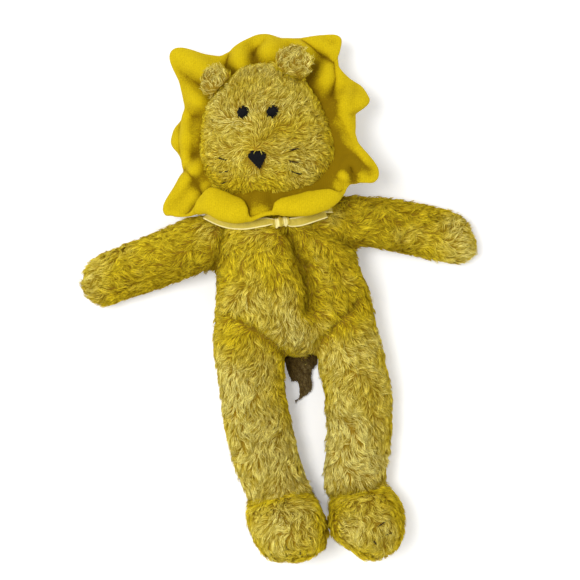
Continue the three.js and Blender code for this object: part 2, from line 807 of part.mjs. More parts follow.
// Ribbon: a band that hugs the foot of the neck, a knot on the chest and two tails that lie on it.
// Each flat run is the part of a thin skin round the torso that lies above its outline.
function addRibbon() {
  const under = torsoGrown(layerGap);
  const over = torsoGrown(layerGap + ribbonThick);
  const { point, normal } = surfaceAt(torsoOuter, knotPlace[0], neckY + knotPlace[1]);
  point.addScaledVector(normal, layerGap + knotHalf[2] / 2);
  const ball = (room) => seated(new THREE.SphereGeometry(1, ballSides, ballRows).scale(
    ...knotHalf.map((half) => half + room)), point.clone(), normal);
  const size = 4 * torsoHalfWidth;
  const slab = new THREE.BoxGeometry(size, ribbonWidth, size);
  slab.translate(0, -ribbonBelowNeck - ribbonWidth / 2, 0);
  slab.applyQuaternion(lean).translate(...head.position.toArray());
  const band = cut(common(slab, over), under, ball(layerGap));
  lion.add(piece('neck_ribbon', band, colours.ribbon, 0.6));
  lion.add(piece('ribbon_knot', cut(ball(0), under), colours.ribbon, 0.6));
  for (const [name, places] of Object.entries(ribbonTails)) {
    const route = new THREE.SplineCurve(places.map(([x, y]) => new THREE.Vector2(x, neckY + y)));
    const [one, other] = [[], []];
    for (let k = 0; k <= ribbonSteps; k++) {
      const at = route.getPoint(k / ribbonSteps);
      const along = route.getTangent(k / ribbonSteps);
      const across = new THREE.Vector2(-along.y, along.x).multiplyScalar(ribbonWidth / 2);
      one.push(at.clone().add(across));
      other.unshift(at.clone().sub(across));
    }
    const outline = new THREE.Shape([...one, ...other]);
    const prism = new THREE.ExtrudeGeometry(outline, { depth: size, bevelEnabled: false });
    prism.translate(0, 0, torsoHalfDepth);
    const room = 2 * layerGap + ribbonThick;
    const strip = cut(common(prism, torsoGrown(room + ribbonThick)), torsoGrown(room), ball(layerGap));
    lion.add(piece(`ribbon_tail_${name}`, strip, colours.ribbon, 0.6));
  }
}

addTorso();
addHead();
addEyes();
addNose();
addWhiskers();
addEars();
addMane();
addArms();
addLegs();
addFeet();
addTail();
addRibbon();

export default lion;
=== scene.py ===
# %% [markdown]
# A floppy plush lion lies on its back on a white table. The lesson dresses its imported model, which
# holds the sizes, the sewn pieces and the joints, in cloth, pile, velour, thread and ribbon.
# Lengths are written in millimetres and turned into Blender's metres by MM, because that is how a
# toy maker measures. Left and right are the lion's own, so its left side is on +X.

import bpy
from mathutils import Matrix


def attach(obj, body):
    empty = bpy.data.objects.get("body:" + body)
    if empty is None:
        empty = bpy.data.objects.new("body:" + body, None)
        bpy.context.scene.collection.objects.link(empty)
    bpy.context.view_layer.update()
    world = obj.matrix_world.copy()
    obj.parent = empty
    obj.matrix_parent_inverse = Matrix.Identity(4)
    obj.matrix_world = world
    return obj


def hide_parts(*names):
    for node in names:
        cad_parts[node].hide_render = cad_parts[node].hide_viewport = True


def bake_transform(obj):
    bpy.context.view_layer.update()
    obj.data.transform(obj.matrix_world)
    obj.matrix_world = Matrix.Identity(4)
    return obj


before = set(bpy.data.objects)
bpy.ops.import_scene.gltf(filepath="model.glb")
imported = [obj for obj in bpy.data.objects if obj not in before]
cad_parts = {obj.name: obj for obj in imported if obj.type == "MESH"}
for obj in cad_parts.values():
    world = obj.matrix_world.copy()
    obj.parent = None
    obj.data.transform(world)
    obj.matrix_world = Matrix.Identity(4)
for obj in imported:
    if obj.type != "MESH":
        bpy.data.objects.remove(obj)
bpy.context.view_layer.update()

# %% The tools that every cell uses
import math

import bmesh
import bpy
import numpy as np
from mathutils import Matrix, Vector
from mathutils.bvhtree import BVHTree

MM = 0.001
HANDS = {"left": 1, "right": -1}
scene = bpy.context.scene


def smooth_step(value, low, high):
    share = np.clip((value - low) / (high - low), 0, 1)
    return share * share * (3 - 2 * share)


def in_mm(*numbers):
    return Vector(numbers) * MM


# %% [markdown]
# The photograph looks straight down on the toy. Its frame is 580 pixels square and the toy's spine
# leans 10 degrees in it, so the camera is rolled by as much. A long lens far above keeps the limbs
# from splaying, as a telephone held high over a table does.

# %% Camera
MM_PER_PIXEL = 0.667
PHOTO_SIDE = 580
PHOTO_MIDDLE = (288, 285)
SPINE_LEAN = math.radians(10)
CAMERA_HEIGHT = 2.4
LENS_PLANE = 26 * MM

camera_data = bpy.data.cameras.new("camera")
camera = bpy.data.objects.new("camera", camera_data)
scene.collection.objects.link(camera)
scene.camera = camera
field = PHOTO_SIDE * MM_PER_PIXEL * MM
camera_data.sensor_width = 36
camera_data.lens = 36 * (CAMERA_HEIGHT - LENS_PLANE) / field
off_middle = Vector((PHOTO_SIDE / 2 - PHOTO_MIDDLE[0], PHOTO_MIDDLE[1] - PHOTO_SIDE / 2, 0))
lean = Matrix.Rotation(-SPINE_LEAN, 4, "Z")
camera.location = lean @ (off_middle * MM_PER_PIXEL * MM) + Vector((0, 0, CAMERA_HEIGHT))
camera.rotation_euler = (0, 0, -SPINE_LEAN)
camera_data.clip_end = 10
print("the camera sees", round(field * 1000), "mm across")

# %% [markdown]
# Soft daylight falls from the upper left of the picture. A wide sun gives it direction, and a plain
# white world lights the rest, so that a colour renders about as it is written. The table is white to
# the camera through a little light of its own, and it still takes the toy's shadow.

# %% Table and light
SUN_FROM = Vector((-0.28, 0.1, 1.0))
SUN_SPREAD = math.radians(20)
SUN_STRENGTH = 1.6
SKY_STRENGTH = 0.72
TABLE_HALF = 3.0
TABLE_WHITE = (0.93, 0.93, 0.93, 1)
TABLE_GLOW = 0.24


def seen_rays(nodes, links):
    """1 for rays that come from the camera or by way of gloss or glass, and 0 for the rest."""
    path = nodes.new("ShaderNodeLightPath")
    total = path.outputs["Is Camera Ray"]
    for name in ("Is Glossy Ray", "Is Transmission Ray"):
        either = nodes.new("ShaderNodeMath")
        either.operation = "MAXIMUM"
        links.new(total, either.inputs[0])
        links.new(path.outputs[name], either.inputs[1])
        total = either.outputs[0]
    return total


def light_the_scene():
    scene.view_settings.view_transform = "Standard"
    world = bpy.data.worlds.new("daylight")
    scene.world = world
    world.use_nodes = True
    nodes, links = world.node_tree.nodes, world.node_tree.links
    sky = nodes["Background"]
    strength = nodes.new("ShaderNodeMapRange")
    links.new(seen_rays(nodes, links), strength.inputs["Value"])
    strength.inputs["To Min"].default_value = SKY_STRENGTH
    sky.inputs["Color"].default_value = (1, 1, 1, 1)
    links.new(strength.outputs[0], sky.inputs["Strength"])
    sun_data = bpy.data.lights.new("sun", "SUN")
    sun_data.energy = SUN_STRENGTH
    sun_data.angle = SUN_SPREAD
    sun = bpy.data.objects.new("sun", sun_data)
    sun.rotation_euler = SUN_FROM.to_track_quat("Z", "Y").to_euler()
    scene.collection.objects.link(sun)


def lay_the_table():
    corners = [(x * TABLE_HALF, y * TABLE_HALF, 0) for x, y in ((-1, -1), (1, -1), (1, 1), (-1, 1))]
    mesh = bpy.data.meshes.new("table")
    mesh.from_pydata(corners, [], [(0, 1, 2, 3)])
    table = bpy.data.objects.new("table", mesh)
    scene.collection.objects.link(table)
    material = bpy.data.materials.new("table_white")
    material.use_nodes = True
    nodes, links = material.node_tree.nodes, material.node_tree.links
    shader = nodes["Principled BSDF"]
    shader.inputs["Base Color"].default_value = TABLE_WHITE
    shader.inputs["Roughness"].default_value = 0.9
    shader.inputs["Specular IOR Level"].default_value = 0.1
    shader.inputs["Emission Color"].default_value = (1, 1, 1, 1)
    glow = nodes.new("ShaderNodeMapRange")
    links.new(seen_rays(nodes, links), glow.inputs["Value"])
    glow.inputs["To Max"].default_value = TABLE_GLOW
    links.new(glow.outputs[0], shader.inputs["Emission Strength"])
    mesh.materials.append(material)


light_the_scene()
lay_the_table()
print("light from", tuple(SUN_FROM))

# %% [markdown]
# A node tree is a row of sums, so this lesson writes it as sums. A Wire holds an output socket, and
# adding or multiplying two wires places the Math or Vector Math node that does it.

# %% Node trees written as sums


class Wire:
    def __init__(self, tree, socket):
        self.tree, self.socket = tree, socket

    def is_vector(self):
        return self.socket.type in ("VECTOR", "RGBA")

    def joined(self, operation, other):
        is_wire = isinstance(other, Wire)
        if self.is_vector() and operation == "MULTIPLY" and not (is_wire and other.is_vector()):
            return self.tree.vector("SCALE", self, Scale=other)
        if self.is_vector() or (is_wire and other.is_vector()):
            return self.tree.vector(operation, self, other)
        return self.tree.number(operation, self, other)

    def __add__(self, other):
        return self.joined("ADD", other)

    def __sub__(self, other):
        return self.joined("SUBTRACT", other)

    def __mul__(self, other):
        return self.joined("MULTIPLY", other)

    def __truediv__(self, other):
        return self.joined("DIVIDE", other)

    def __pow__(self, other):
        return self.tree.number("POWER", self, other)


class Tree:
    def __init__(self, nodes, links):
        self.nodes, self.links = nodes, links

    def feed(self, socket, value):
        if isinstance(value, Wire):
            self.links.new(value.socket, socket)
        elif value is not None:
            socket.default_value = value

    def add(self, kind, *values, settings=None, **named):
        node = self.nodes.new(kind)
        for name, setting in (settings or {}).items():
            setattr(node, name, setting)
        sockets = [socket for socket in node.inputs if socket.enabled]
        for socket, value in zip(sockets, values):
            self.feed(socket, value)
        for name, value in named.items():
            wanted = name.replace("_", " ")
            self.feed(next(socket for socket in sockets if socket.name == wanted), value)
        return node

    def out(self, node, name=None):
        sockets = [socket for socket in node.outputs if socket.enabled]
        return Wire(self, next(s for s in sockets if name is None or s.name == name))

    def number(self, operation, *values):
        return self.out(self.add("ShaderNodeMath", *values, settings={"operation": operation}))

    def vector(self, operation, *values, **named):
        node = self.add("ShaderNodeVectorMath", *values, settings={"operation": operation}, **named)
        return self.out(node)

    def noise(self, place, scale, detail=1.0, roughness=0.5):
        node = self.add("ShaderNodeTexNoise", Vector=place, Scale=scale, Detail=detail,
                        Roughness=roughness)
        return Wire(self, node.outputs[0])


class Group(Tree):
    """A node group with named inputs and outputs, for geometry or for shading."""

    def __init__(self, name, kind, inputs, outputs):
        self.group = bpy.data.node_groups.new(name, kind)
        super().__init__(self.group.nodes, self.group.links)
        self.sockets = {}
        for label, (socket_kind, value) in inputs.items():
            socket = self.group.interface.new_socket(label, in_out="INPUT", socket_type=socket_kind)
            if value is not None:
                socket.default_value = value
            self.sockets[label] = socket.identifier
        for label, socket_kind in outputs.items():
            self.group.interface.new_socket(label, in_out="OUTPUT", socket_type=socket_kind)
        self.entry = self.nodes.new("NodeGroupInput")
        self.exit = self.nodes.new("NodeGroupOutput")

    def taken(self, label):
        return Wire(self, self.entry.outputs[label])

    def give(self, label, wire):
        self.links.new(wire.socket, self.exit.inputs[label])


# %% [markdown]
# A shaped mesh passes through many steps here, and each step reads its points as an array and writes
# them back. A modifier's result is taken as a new plain mesh, so that no modifier stays on a piece.

# %% Meshes as arrays


def points_of(mesh):
    found = np.empty(len(mesh.vertices) * 3)
    mesh.vertices.foreach_get("co", found)
    return found.reshape(-1, 3)


def normals_of(mesh):
    found = np.empty(len(mesh.vertices) * 3)
    mesh.vertex_normals.foreach_get("vector", found)
    return found.reshape(-1, 3)


def put_points(mesh, points):
    mesh.vertices.foreach_set("co", np.asarray(points, float).ravel())
    mesh.update()


def keep_on_points(mesh, name, values):
    kind = "FLOAT_VECTOR" if np.ndim(values) == 2 else "FLOAT"
    attribute = mesh.attributes.new(name, kind, "POINT")
    attribute.data.foreach_set("vector" if kind == "FLOAT_VECTOR" else "value",
                               np.asarray(values, np.float32).ravel())


def object_of(name, mesh):
    made = bpy.data.objects.new(name, mesh)
    scene.collection.objects.link(made)
    return made


def result_of(made):
    return bpy.data.meshes.new_from_object(made.evaluated_get(bpy.context.evaluated_depsgraph_get()))


def mesh_of(name, points, faces):
    mesh = bpy.data.meshes.new(name)
    mesh.from_pydata([tuple(p) for p in points], [], faces)
    return mesh


def smooth_shaded(mesh):
    mesh.polygons.foreach_set("use_smooth", [True] * len(mesh.polygons))
    return mesh


def turned_outwards(mesh):
    """The mesh, smooth, with every face's front on its outside."""
    sack = bmesh.new()
    sack.from_mesh(mesh)
    bmesh.ops.recalc_face_normals(sack, faces=sack.faces)
    sack.to_mesh(mesh)
    sack.free()
    return smooth_shaded(mesh)


def tube_faces(rings, sides, joined=False):
    """The faces between rings of points. When joined, the last ring meets the first."""
    faces = []
    for i in range(rings if joined else rings - 1):
        here, there = i * sides, (i + 1) % rings * sides
        for k in range(sides):
            after = (k + 1) % sides
            faces.append((here + k, here + after, there + after, there + k))
    return faces


def tree_of(*meshes):
    """One tree for rays through all the meshes."""
    points, faces = [], []
    for mesh in meshes:
        faces += [[len(points) + v for v in face.vertices] for face in mesh.polygons]
        points += points_of(mesh).tolist()
    return BVHTree.FromPolygons(points, faces)


def bell(away, reach):
    """1 where nothing lies between, falling softly to almost nothing at twice the reach."""
    return np.exp(-(away / reach) ** 2)


def bell_at(place, reach, x, y):
    """The bell round a place, seen from above."""
    return bell(np.hypot(x - place[0], y - place[1]), reach)


# %% [markdown]
# Cutting pieces from woven fur and turning them inside out gives a toy its soft, seamless swell. The
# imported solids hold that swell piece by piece, with thin flat seams where a limb folds. Here copies
# of them and of the stuffing are poured together, with a little more stuffing over the shoulders,
# the hips and the ankles, and remeshed in voxels, which melts them into one skin.

# %% Pouring the stuffing together
VOXEL = 3.6 * MM
LOFT_SIDES = 20


def loft(stations, along):
    """A closed tube through stations of middle x, y, z, half width and half depth, in mm."""
    across = Vector((0, 1, 0)) if along == "x" else Vector((1, 0, 0))
    points = []
    for x, y, z, wide, deep in stations:
        for k in range(LOFT_SIDES):
            turn = 2 * math.pi * k / LOFT_SIDES
            points.append(in_mm(x, y, z) + across * wide * MM * math.cos(turn)
                          + Vector((0, 0, deep * MM * math.sin(turn))))
    faces = tube_faces(len(stations), LOFT_SIDES)
    faces.append(tuple(range(LOFT_SIDES)))
    last = (len(stations) - 1) * LOFT_SIDES
    faces.append(tuple(range(last + LOFT_SIDES - 1, last - 1, -1)))
    return mesh_of("loft", points, faces)


def largest_shell(mesh):
    """Drops the closed bubbles that a hollow leaves inside a remeshed skin."""
    sack = bmesh.new()
    sack.from_mesh(mesh)
    left, shells = set(sack.verts), []
    while left:
        shell, reach = set(), [left.pop()]
        while reach:
            vertex = reach.pop()
            shell.add(vertex)
            for edge in vertex.link_edges:
                other = edge.other_vert(vertex)
                if other in left:
                    left.discard(other)
                    reach.append(other)
        shells.append(shell)
    shells.sort(key=len)
    for shell in shells[:-1]:
        bmesh.ops.delete(sack, geom=list(shell), context="VERTS")
    sack.to_mesh(mesh)
    sack.free()
    return mesh


def poured(name, nodes, extra=(), voxel=VOXEL):
    sack = bmesh.new()
    for mesh in [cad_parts[node].data for node in nodes] + list(extra):
        sack.from_mesh(mesh)
    bmesh.ops.remove_doubles(sack, verts=sack.verts, dist=0.001 * MM)
    mesh = bpy.data.meshes.new(name)
    sack.to_mesh(mesh)
    sack.free()
    mould = object_of(name, mesh)
    remesh = mould.modifiers.new("remesh", "REMESH")
    remesh.mode = "VOXEL"
    remesh.voxel_size = voxel
    skin = largest_shell(result_of(mould))
    bpy.data.objects.remove(mould)
    print(name, "has", len(skin.vertices), "points")
    return skin


SHOULDER_FILL = {
    "left": [(30, 35, 30, 15, 17), (42, 34.7, 29.5, 17, 16), (52, 33.8, 28, 17.6, 15.4),
             (62, 32, 25, 17.8, 15.2)],
    "right": [(30, 35, 30, 15, 17), (42, 34.7, 29.5, 17, 16), (52, 34.4, 28, 17.6, 15.4),
              (62, 33.8, 25, 17.8, 15.2)],
}
HIP_FILL = [
    (33, -10, 28, 17, 22), (34.5, -26, 27, 20.5, 23), (35.5, -42, 25.5, 21.3, 22), (35.5, -58, 24, 21.3, 21),
    (34.5, -74, 22.5, 21, 20),
]
ANKLE_FILL = {
    "left": [(27.8, -112, 19.5, 20.5, 19), (25.1, -126, 19.5, 20, 18.5), (23.2, -138, 19.5, 19.5, 18),
             (23.4, -148, 20, 17, 15), (23.6, -154, 20, 9, 7)],
    "right": [(34.6, -112, 19.5, 21, 19), (33.4, -126, 19.5, 20.5, 18.5), (32.2, -136, 19.5, 20, 18),
              (31.4, -146, 20, 17, 15), (30.5, -152, 20, 9, 7)],
}
CROTCH_FILL = [(1, -34, 25, 26, 22), (1, -41, 24.5, 20, 18), (1, -45, 24, 12, 12), (1, -48, 24, 5, 6)]
INSTEP_FILL = {
    "left": [(22.7, -138, 19.5, 16, 14), (24, -147, 21, 21, 19), (25, -157, 24, 24.2, 22.5),
             (25, -168, 25, 23.5, 22)],
    "right": [(32.2, -136, 19.5, 16, 14), (32, -145, 21, 21.5, 19), (29.5, -155, 24, 24.6, 22.5),
              (27.5, -165, 25, 23.5, 22)],
}
FOOT_SHIFT = {"left": in_mm(0.5, -1.8, 0), "right": in_mm(-0.4, 2.4, 0)}
# The tuft's wide upper end under the crotch stands partly for the shade between the legs: painted shadow.
TUFT_LIE = [
    (0.4, -44, 5.4, 10.4, 4.6), (0, -48, 5.6, 12.4, 4.8), (0.2, -52, 5.6, 12.0, 4.8),
    (-0.2, -55, 4.8, 12, 4), (0.1, -57.4, 4.2, 9.4, 3.4), (0.5, -59.4, 3.9, 6.2, 2.9),
    (0.2, -62, 3.7, 5.6, 2.6), (0.1, -66, 3.6, 5.6, 2.5), (-0.2, -70, 3.4, 5.8, 2.3),
    (-1.4, -73.8, 3.2, 4.8, 2), (-4.6, -76.2, 3, 3.2, 1.8), (-9.4, -78.4, 2.8, 1.6, 1.2),
]
TUFT_RAG = [
    (-6.0, -50, 4.6, 5, 2.6), (-6.9, -55, 4.2, 4.4, 2.6), (-7.6, -59, 3.8, 3.6, 2.2),
    (-7.8, -62, 3.6, 2.8, 1.9), (-7.8, -65, 3.4, 1.4, 1.2),
]
EAR_SIZES = {"left": 1.14, "right": 0.98}
EAR_PUFF = 1.3
FINE_VOXEL, TUFT_VOXEL = 1.6 * MM, 1.2 * MM


def mirrored(stations, hand):
    return [(hand * x, *rest) for x, *rest in stations]


body_nodes = ["torso_skin", "torso_stuffing", "seat_pellet_pouch"]
body_fill = []
for hand, sign in HANDS.items():
    for limb in ("arm", "leg"):
        body_nodes += [f"{limb}_{hand}_skin", f"{limb}_{hand}_stuffing"]
    body_fill.append(loft(mirrored(SHOULDER_FILL[hand], sign), "x"))
    body_fill.append(loft(mirrored(HIP_FILL, sign), "y"))
    body_fill.append(loft(mirrored(ANKLE_FILL[hand], sign), "y"))
body_fill.append(loft(CROTCH_FILL, "y"))
body_skin = poured("body", body_nodes, body_fill)
foot_skins = {}
for hand, sign in HANDS.items():
    instep = loft(mirrored(INSTEP_FILL[hand], sign), "y")
    foot = poured(f"foot_{hand}", [f"foot_{hand}_skin", f"foot_{hand}_pellet_pouch"], [instep])
    foot.transform(Matrix.Translation(FOOT_SHIFT[hand]))
    foot_skins[hand] = foot
head_skin = poured("head", ["head_skin", "head_stuffing"])
ear_skins = {hand: poured(f"ear_{hand}", [f"ear_{hand}"], voxel=FINE_VOXEL) for hand in HANDS}
tail_skin = poured("tail", ["tail"], voxel=FINE_VOXEL)
tuft_skin = poured("tuft", [], [loft(TUFT_LIE, "y"), loft(TUFT_RAG, "y")], voxel=TUFT_VOXEL)

# %% [markdown]
# A limp toy never lies as straight as its pattern, and its face is flatter above and fuller at the
# cheeks than a ball. Soft pushes along the table lay the skins as they lie in the photograph. Each
# has a place, how far its touch reaches, and how far it goes, all in millimetres.

# %% Laying the limbs and shaping the face
PUSHES = [
    ((-122, 27), 30, (-2.2, -3.0)), ((-74, 52), 18, (0, 1.3)), ((128, 8), 24, (-5.0, -1.8)),
    ((98, 10), 26, (0, -2.2)), ((-50, 17.6), 9, (4.4, 3.4)), ((50, 18), 6, (-1.0, 1.6)),
    ((51.5, -8), 12, (1.6, -0.3)), ((55, -40), 20, (-2.8, 0.3)), ((-34, -92), 32, (-2.8, 0.4)),
    ((-32, -106), 18, (-2.0, 0)), ((29.7, -100), 26, (2.6, -0.3)), ((-23.6, -141), 15, (2.8, -0.4)),
    ((-14, -141), 10, (3.2, 0)), ((2.5, -137), 12, (-3.8, 0.3)), ((-30.6, -181), 20, (0.7, 4.4)),
    ((6.0, -182), 12, (4.0, 4.4)), ((43, -184), 14, (0.9, -0.4)), ((-54, 48), 12, (-1.0, 4.5)),
    ((-13, -54), 9, (2.4, 0)), ((13, -58), 10, (-3.4, 0)),
]
FACE_PUSHES = [
    ((45.5, 74), 17, (3.6, -0.4)), ((43.8, 118), 17, (-3.0, 0.5)), ((-1, 151), 10, (-1.2, 1.6)),
    ((-1.4, 61), 22, (0.5, 2.8)), ((-33, 128), 12, (-2.2, 0.3)), ((-9, 148), 7, (-2.2, 2.4)),
    ((-41, 112), 14, (-0.8, 0.2)),
]


def laid(points, pushes=PUSHES):
    moved = points.copy()
    for place, reach, push in pushes:
        near = bell_at(place, reach, points[:, 0] / MM, points[:, 1] / MM)
        moved[:, :2] += near[:, None] * np.array(push) * MM
    return moved


for skin in (body_skin, *foot_skins.values()):
    put_points(skin, laid(points_of(skin)))
put_points(head_skin, laid(points_of(head_skin), FACE_PUSHES))
for hand, skin in ear_skins.items():
    points = points_of(skin)
    middle = points.mean(axis=0)
    put_points(skin, middle + (points - middle) * EAR_SIZES[hand] * np.array((1, 1, EAR_PUFF)))
print("pushed at", len(PUSHES) + len(FACE_PUSHES), "places")

# %% [markdown]
# Stuffing pushes a sewn skin out until its cloth is tight. A cloth simulation with pressure inside
# does that, and its small wrinkles are worth having at the joints. A cap on the movement keeps the
# toy its size, and a few rounds of relaxing take the voxels' steps away first.

# %% Swelling the skins
SWELL_FRAMES = 20
SWELL_CAP = 2 * MM
RELAX_ROUNDS = 6


def relaxed(mesh, points, rounds, strength=0.5):
    edges = np.empty(len(mesh.edges) * 2, np.int32)
    mesh.edges.foreach_get("vertices", edges)
    here, there = edges.reshape(-1, 2).T
    neighbours = np.bincount(edges, minlength=len(points))[:, None]
    for _ in range(rounds):
        total = np.zeros_like(points)
        np.add.at(total, here, points[there])
        np.add.at(total, there, points[here])
        points = points + strength * (total / neighbours - points)
    return points


def swollen(name, mesh):
    put_points(mesh, relaxed(mesh, points_of(mesh), RELAX_ROUNDS))
    before = points_of(mesh)
    sack = object_of(name, mesh.copy())
    cloth = sack.modifiers.new("swell", "CLOTH")
    cloth.settings.quality = 4
    cloth.settings.bending_stiffness = 2
    cloth.settings.use_pressure = True
    cloth.settings.uniform_pressure_force = 4
    cloth.settings.effector_weights.gravity = 0
    cloth.point_cache.frame_end = SWELL_FRAMES
    for number in range(1, SWELL_FRAMES + 1):
        scene.frame_set(number)
    moved = points_of(result_of(sack)) - before
    scene.frame_set(1)
    bpy.data.objects.remove(sack)
    far = np.linalg.norm(moved, axis=1, keepdims=True)
    moved *= np.minimum(1, SWELL_CAP / np.maximum(far, 1e-9))
    put_points(mesh, relaxed(mesh, before + moved, 2))
    print(name, "swelled", round(float(np.mean(far)) / MM, 2), "mm on average")
    return mesh


def finer(mesh, name):
    """The mesh with each face in four, which rounds the last of the voxels' steps."""
    sack = object_of(name, mesh)
    sack.modifiers.new("finer", "SUBSURF").levels = 1
    made = result_of(sack)
    bpy.data.objects.remove(sack)
    return made


body_skin = finer(swollen("body", body_skin), "body")
head_skin = finer(swollen("head", head_skin), "head")
foot_skins = {hand: finer(swollen(f"foot_{hand}", skin), "foot") for hand, skin in foot_skins.items()}
for skin in [*ear_skins.values(), tail_skin, tuft_skin]:
    put_points(skin, relaxed(skin, points_of(skin), 4))

# %% [markdown]
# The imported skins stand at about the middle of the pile, so the cloth under the pile lies a little
# deeper. Seams pull the cloth in further: two that run in a V over the hips, the one that
# draws the chest in, those round the shoulders and the stitched crease over each ankle.

# %% Letting the cloth in and drawing the seams
CLOTH_DEPTH = 0.9 * MM
V_SEAMS = [
    [(-42, -12.5), (-30.5, -21), (-18.3, -33.3), (-8.9, -44.9)],
    [(44, -17), (38.8, -21.8), (26.3, -31.1), (14, -42)],
]
BELLY_CREASE = [(7, 34), (9, 24), (13, 8), (13.4, -6), (10, -20)]
ARM_SEAMS = [
    [(-47, 14), (-45, 20), (-40, 32), (-36, 42), (-34, 50)], [(48, 18), (40, 23), (31, 28), (22, 36)],
]
SEAMS = [
    # route across the toy in mm, depth, half width
    (V_SEAMS[0], 4.6, 2.8),
    (V_SEAMS[1], 4.6, 2.8),
    (BELLY_CREASE, 9.0, 5.0),
    ([(-8, 26), (-2, 4), (1, -20)], -3.2, 7.0),
    (ARM_SEAMS[0], 3.4, 3.2),
    (ARM_SEAMS[1], 3.4, 4.0),
    ([(-54, -139), (-33, -136), (-13, -131)], 1.6, 3.0),
    ([(4, -143), (22, -143), (44, -141)], 2.2, 2.6),
]


def way_to(points, route):
    """How far each point lies from a route across the toy, seen from above, and the way from it."""
    near, way = np.full(len(points), np.inf), np.zeros((len(points), 2))
    for (ax, ay), (bx, by) in zip(route, route[1:]):
        a, run = np.array((ax, ay)) * MM, np.array((bx - ax, by - ay)) * MM
        share = np.clip(((points[:, :2] - a) @ run) / (run @ run), 0, 1)
        off = points[:, :2] - a - share[:, None] * run
        far = np.linalg.norm(off, axis=1)
        nearer = far < near
        near[nearer], way[nearer] = far[nearer], off[nearer] / np.maximum(far[nearer, None], 1e-9)
    return near, way


def let_in(mesh, depth=CLOTH_DEPTH, seams=()):
    points, facing = points_of(mesh), normals_of(mesh)
    inwards = np.full(len(points), depth)
    for route, deep, half in seams:
        in_front = smooth_step(facing[:, 2], 0.0, 0.5)
        inwards += deep * MM * bell(way_to(points, route)[0], half * MM) * in_front
    put_points(mesh, points - facing * inwards[:, None])
    return mesh


let_in(body_skin, seams=SEAMS)
let_in(head_skin)
for skin in foot_skins.values():
    let_in(skin, seams=SEAMS[-2:])
for skin in ear_skins.values():
    let_in(skin, 1.5 * MM)
let_in(tail_skin, 1.5 * MM)
let_in(tuft_skin, 1.0 * MM)

# %% [markdown]
# Pile has a lie. A maker cuts each piece so that the pile runs down the body and out along the limbs,
# and on the face it runs away from the nose. The lie is kept on the skins' points as directions, with
# how long the pile is there, how thick it grows, and how pale or deep its colour is, which holds both
# fading and painted light and shade. Cutting a mesh keeps what its points hold, so the combing comes
# before the skin is shared out.

# %% Combing
HEAD_PLACE = (-5, 50, 42.5)
HEAD_TURN = math.radians(10)
NOSE_PLACE, NOSE_HALF = (0.8, 33.4), 6.4
EYE_PLACES, EYE_HALF = [(9.0, 64.4), (-10.2, 64.2)], 4.0
FACE_PARTING = 44
CHIN, CHIN_REACH = (0, 14), 26
# Painted light: pile that faces this way is paler.
LIT_SIDE = (-0.1, 0.2, 0.9)
# Seams whose pile is short and carries painted shade: route, half width in mm, how much deeper
SHADED_SEAMS = [
    (BELLY_CREASE, 5.0, 1.0), (ARM_SEAMS[0], 3.5, 0.7), (ARM_SEAMS[1], 4.5, 0.7),
    (V_SEAMS[0], 2.2, 0.6), (V_SEAMS[1], 2.2, 0.6),
]

# Patches of painted light and shade on the body's pile, paler or deeper: the place and its reach in mm, how
# much
LIGHT_AND_SHADE_PATCHES = [
    ((-6, 14), 13, -0.3), ((-4, -8), 11, 0.25), ((0, -28), 15, 0.85), ((-40, -115), 30, 0.65),
    ((-122, 26), 24, 0.5), ((122, 6), 24, 0.5), ((30, -115), 28, 0.3), ((-30, 25), 18, -0.2),
    ((14, -10), 9, -0.3), ((-14, -75), 12, -0.3), ((12, -75), 12, -0.35), ((60, 35), 14, -0.1),
    ((-58, 35), 14, -0.2),
]

head_frame = (Matrix.Translation(in_mm(*HEAD_PLACE)) @ Matrix.Rotation(-HEAD_TURN, 4, "Z")
              @ Matrix.Rotation(-HEAD_TURN, 4, "Y"))


def unit(vectors):
    return vectors / np.maximum(np.linalg.norm(vectors, axis=-1, keepdims=True), 1e-9)


def moved_by(matrix, points):
    return points @ np.array(matrix.to_3x3()).T + np.array(matrix.translation)


def shut_in(mesh, tree, reach, rays=10):
    """How much of the room over each point is taken by other cloth, from 0 to 1."""
    rise = (np.arange(rays) + 0.5) / rays
    turn = np.arange(rays) * math.pi * (3 - math.sqrt(5))
    wide = np.sqrt(1 - rise)
    ways = [Vector(way) for way in zip(wide * np.cos(turn), wide * np.sin(turn), np.sqrt(rise))]
    found = np.zeros(len(mesh.vertices))
    for i, (point, up) in enumerate(zip(points_of(mesh), normals_of(mesh))):
        up = Vector(up)
        start, turned = Vector(point) + up * 0.8 * MM, Vector((0, 0, 1)).rotation_difference(up)
        found[i] = sum(tree.ray_cast(start, turned @ way, reach)[0] is not None for way in ways) / rays
    return relaxed(mesh, found[:, None], 4)[:, 0]


def combed(mesh, lie, length, cover, fade):
    """Keeps the combing on the mesh: short thin pile underneath, and painted light and shade on its colour.
    """
    facing = normals_of(mesh)
    under = 1 - smooth_step(facing[:, 2], -0.75, -0.1)
    sunny = smooth_step(facing @ unit(np.array(LIT_SIDE)), 0.0, 1.0)
    shut = shut_in(mesh, all_skins, SHUT_REACH)
    keep_on_points(mesh, "lie", unit(lie))
    keep_on_points(mesh, "pile_length", length * (1 - 0.35 * under))
    keep_on_points(mesh, "cover", cover * (1 - 0.6 * under))
    # Painted light on the side that faces the light, and painted shade where other cloth shuts the pile in.
    keep_on_points(mesh, "fade", np.clip(fade + 0.5 * (sunny - 0.8) - 1.2 * shut, -1, 1))
    return mesh


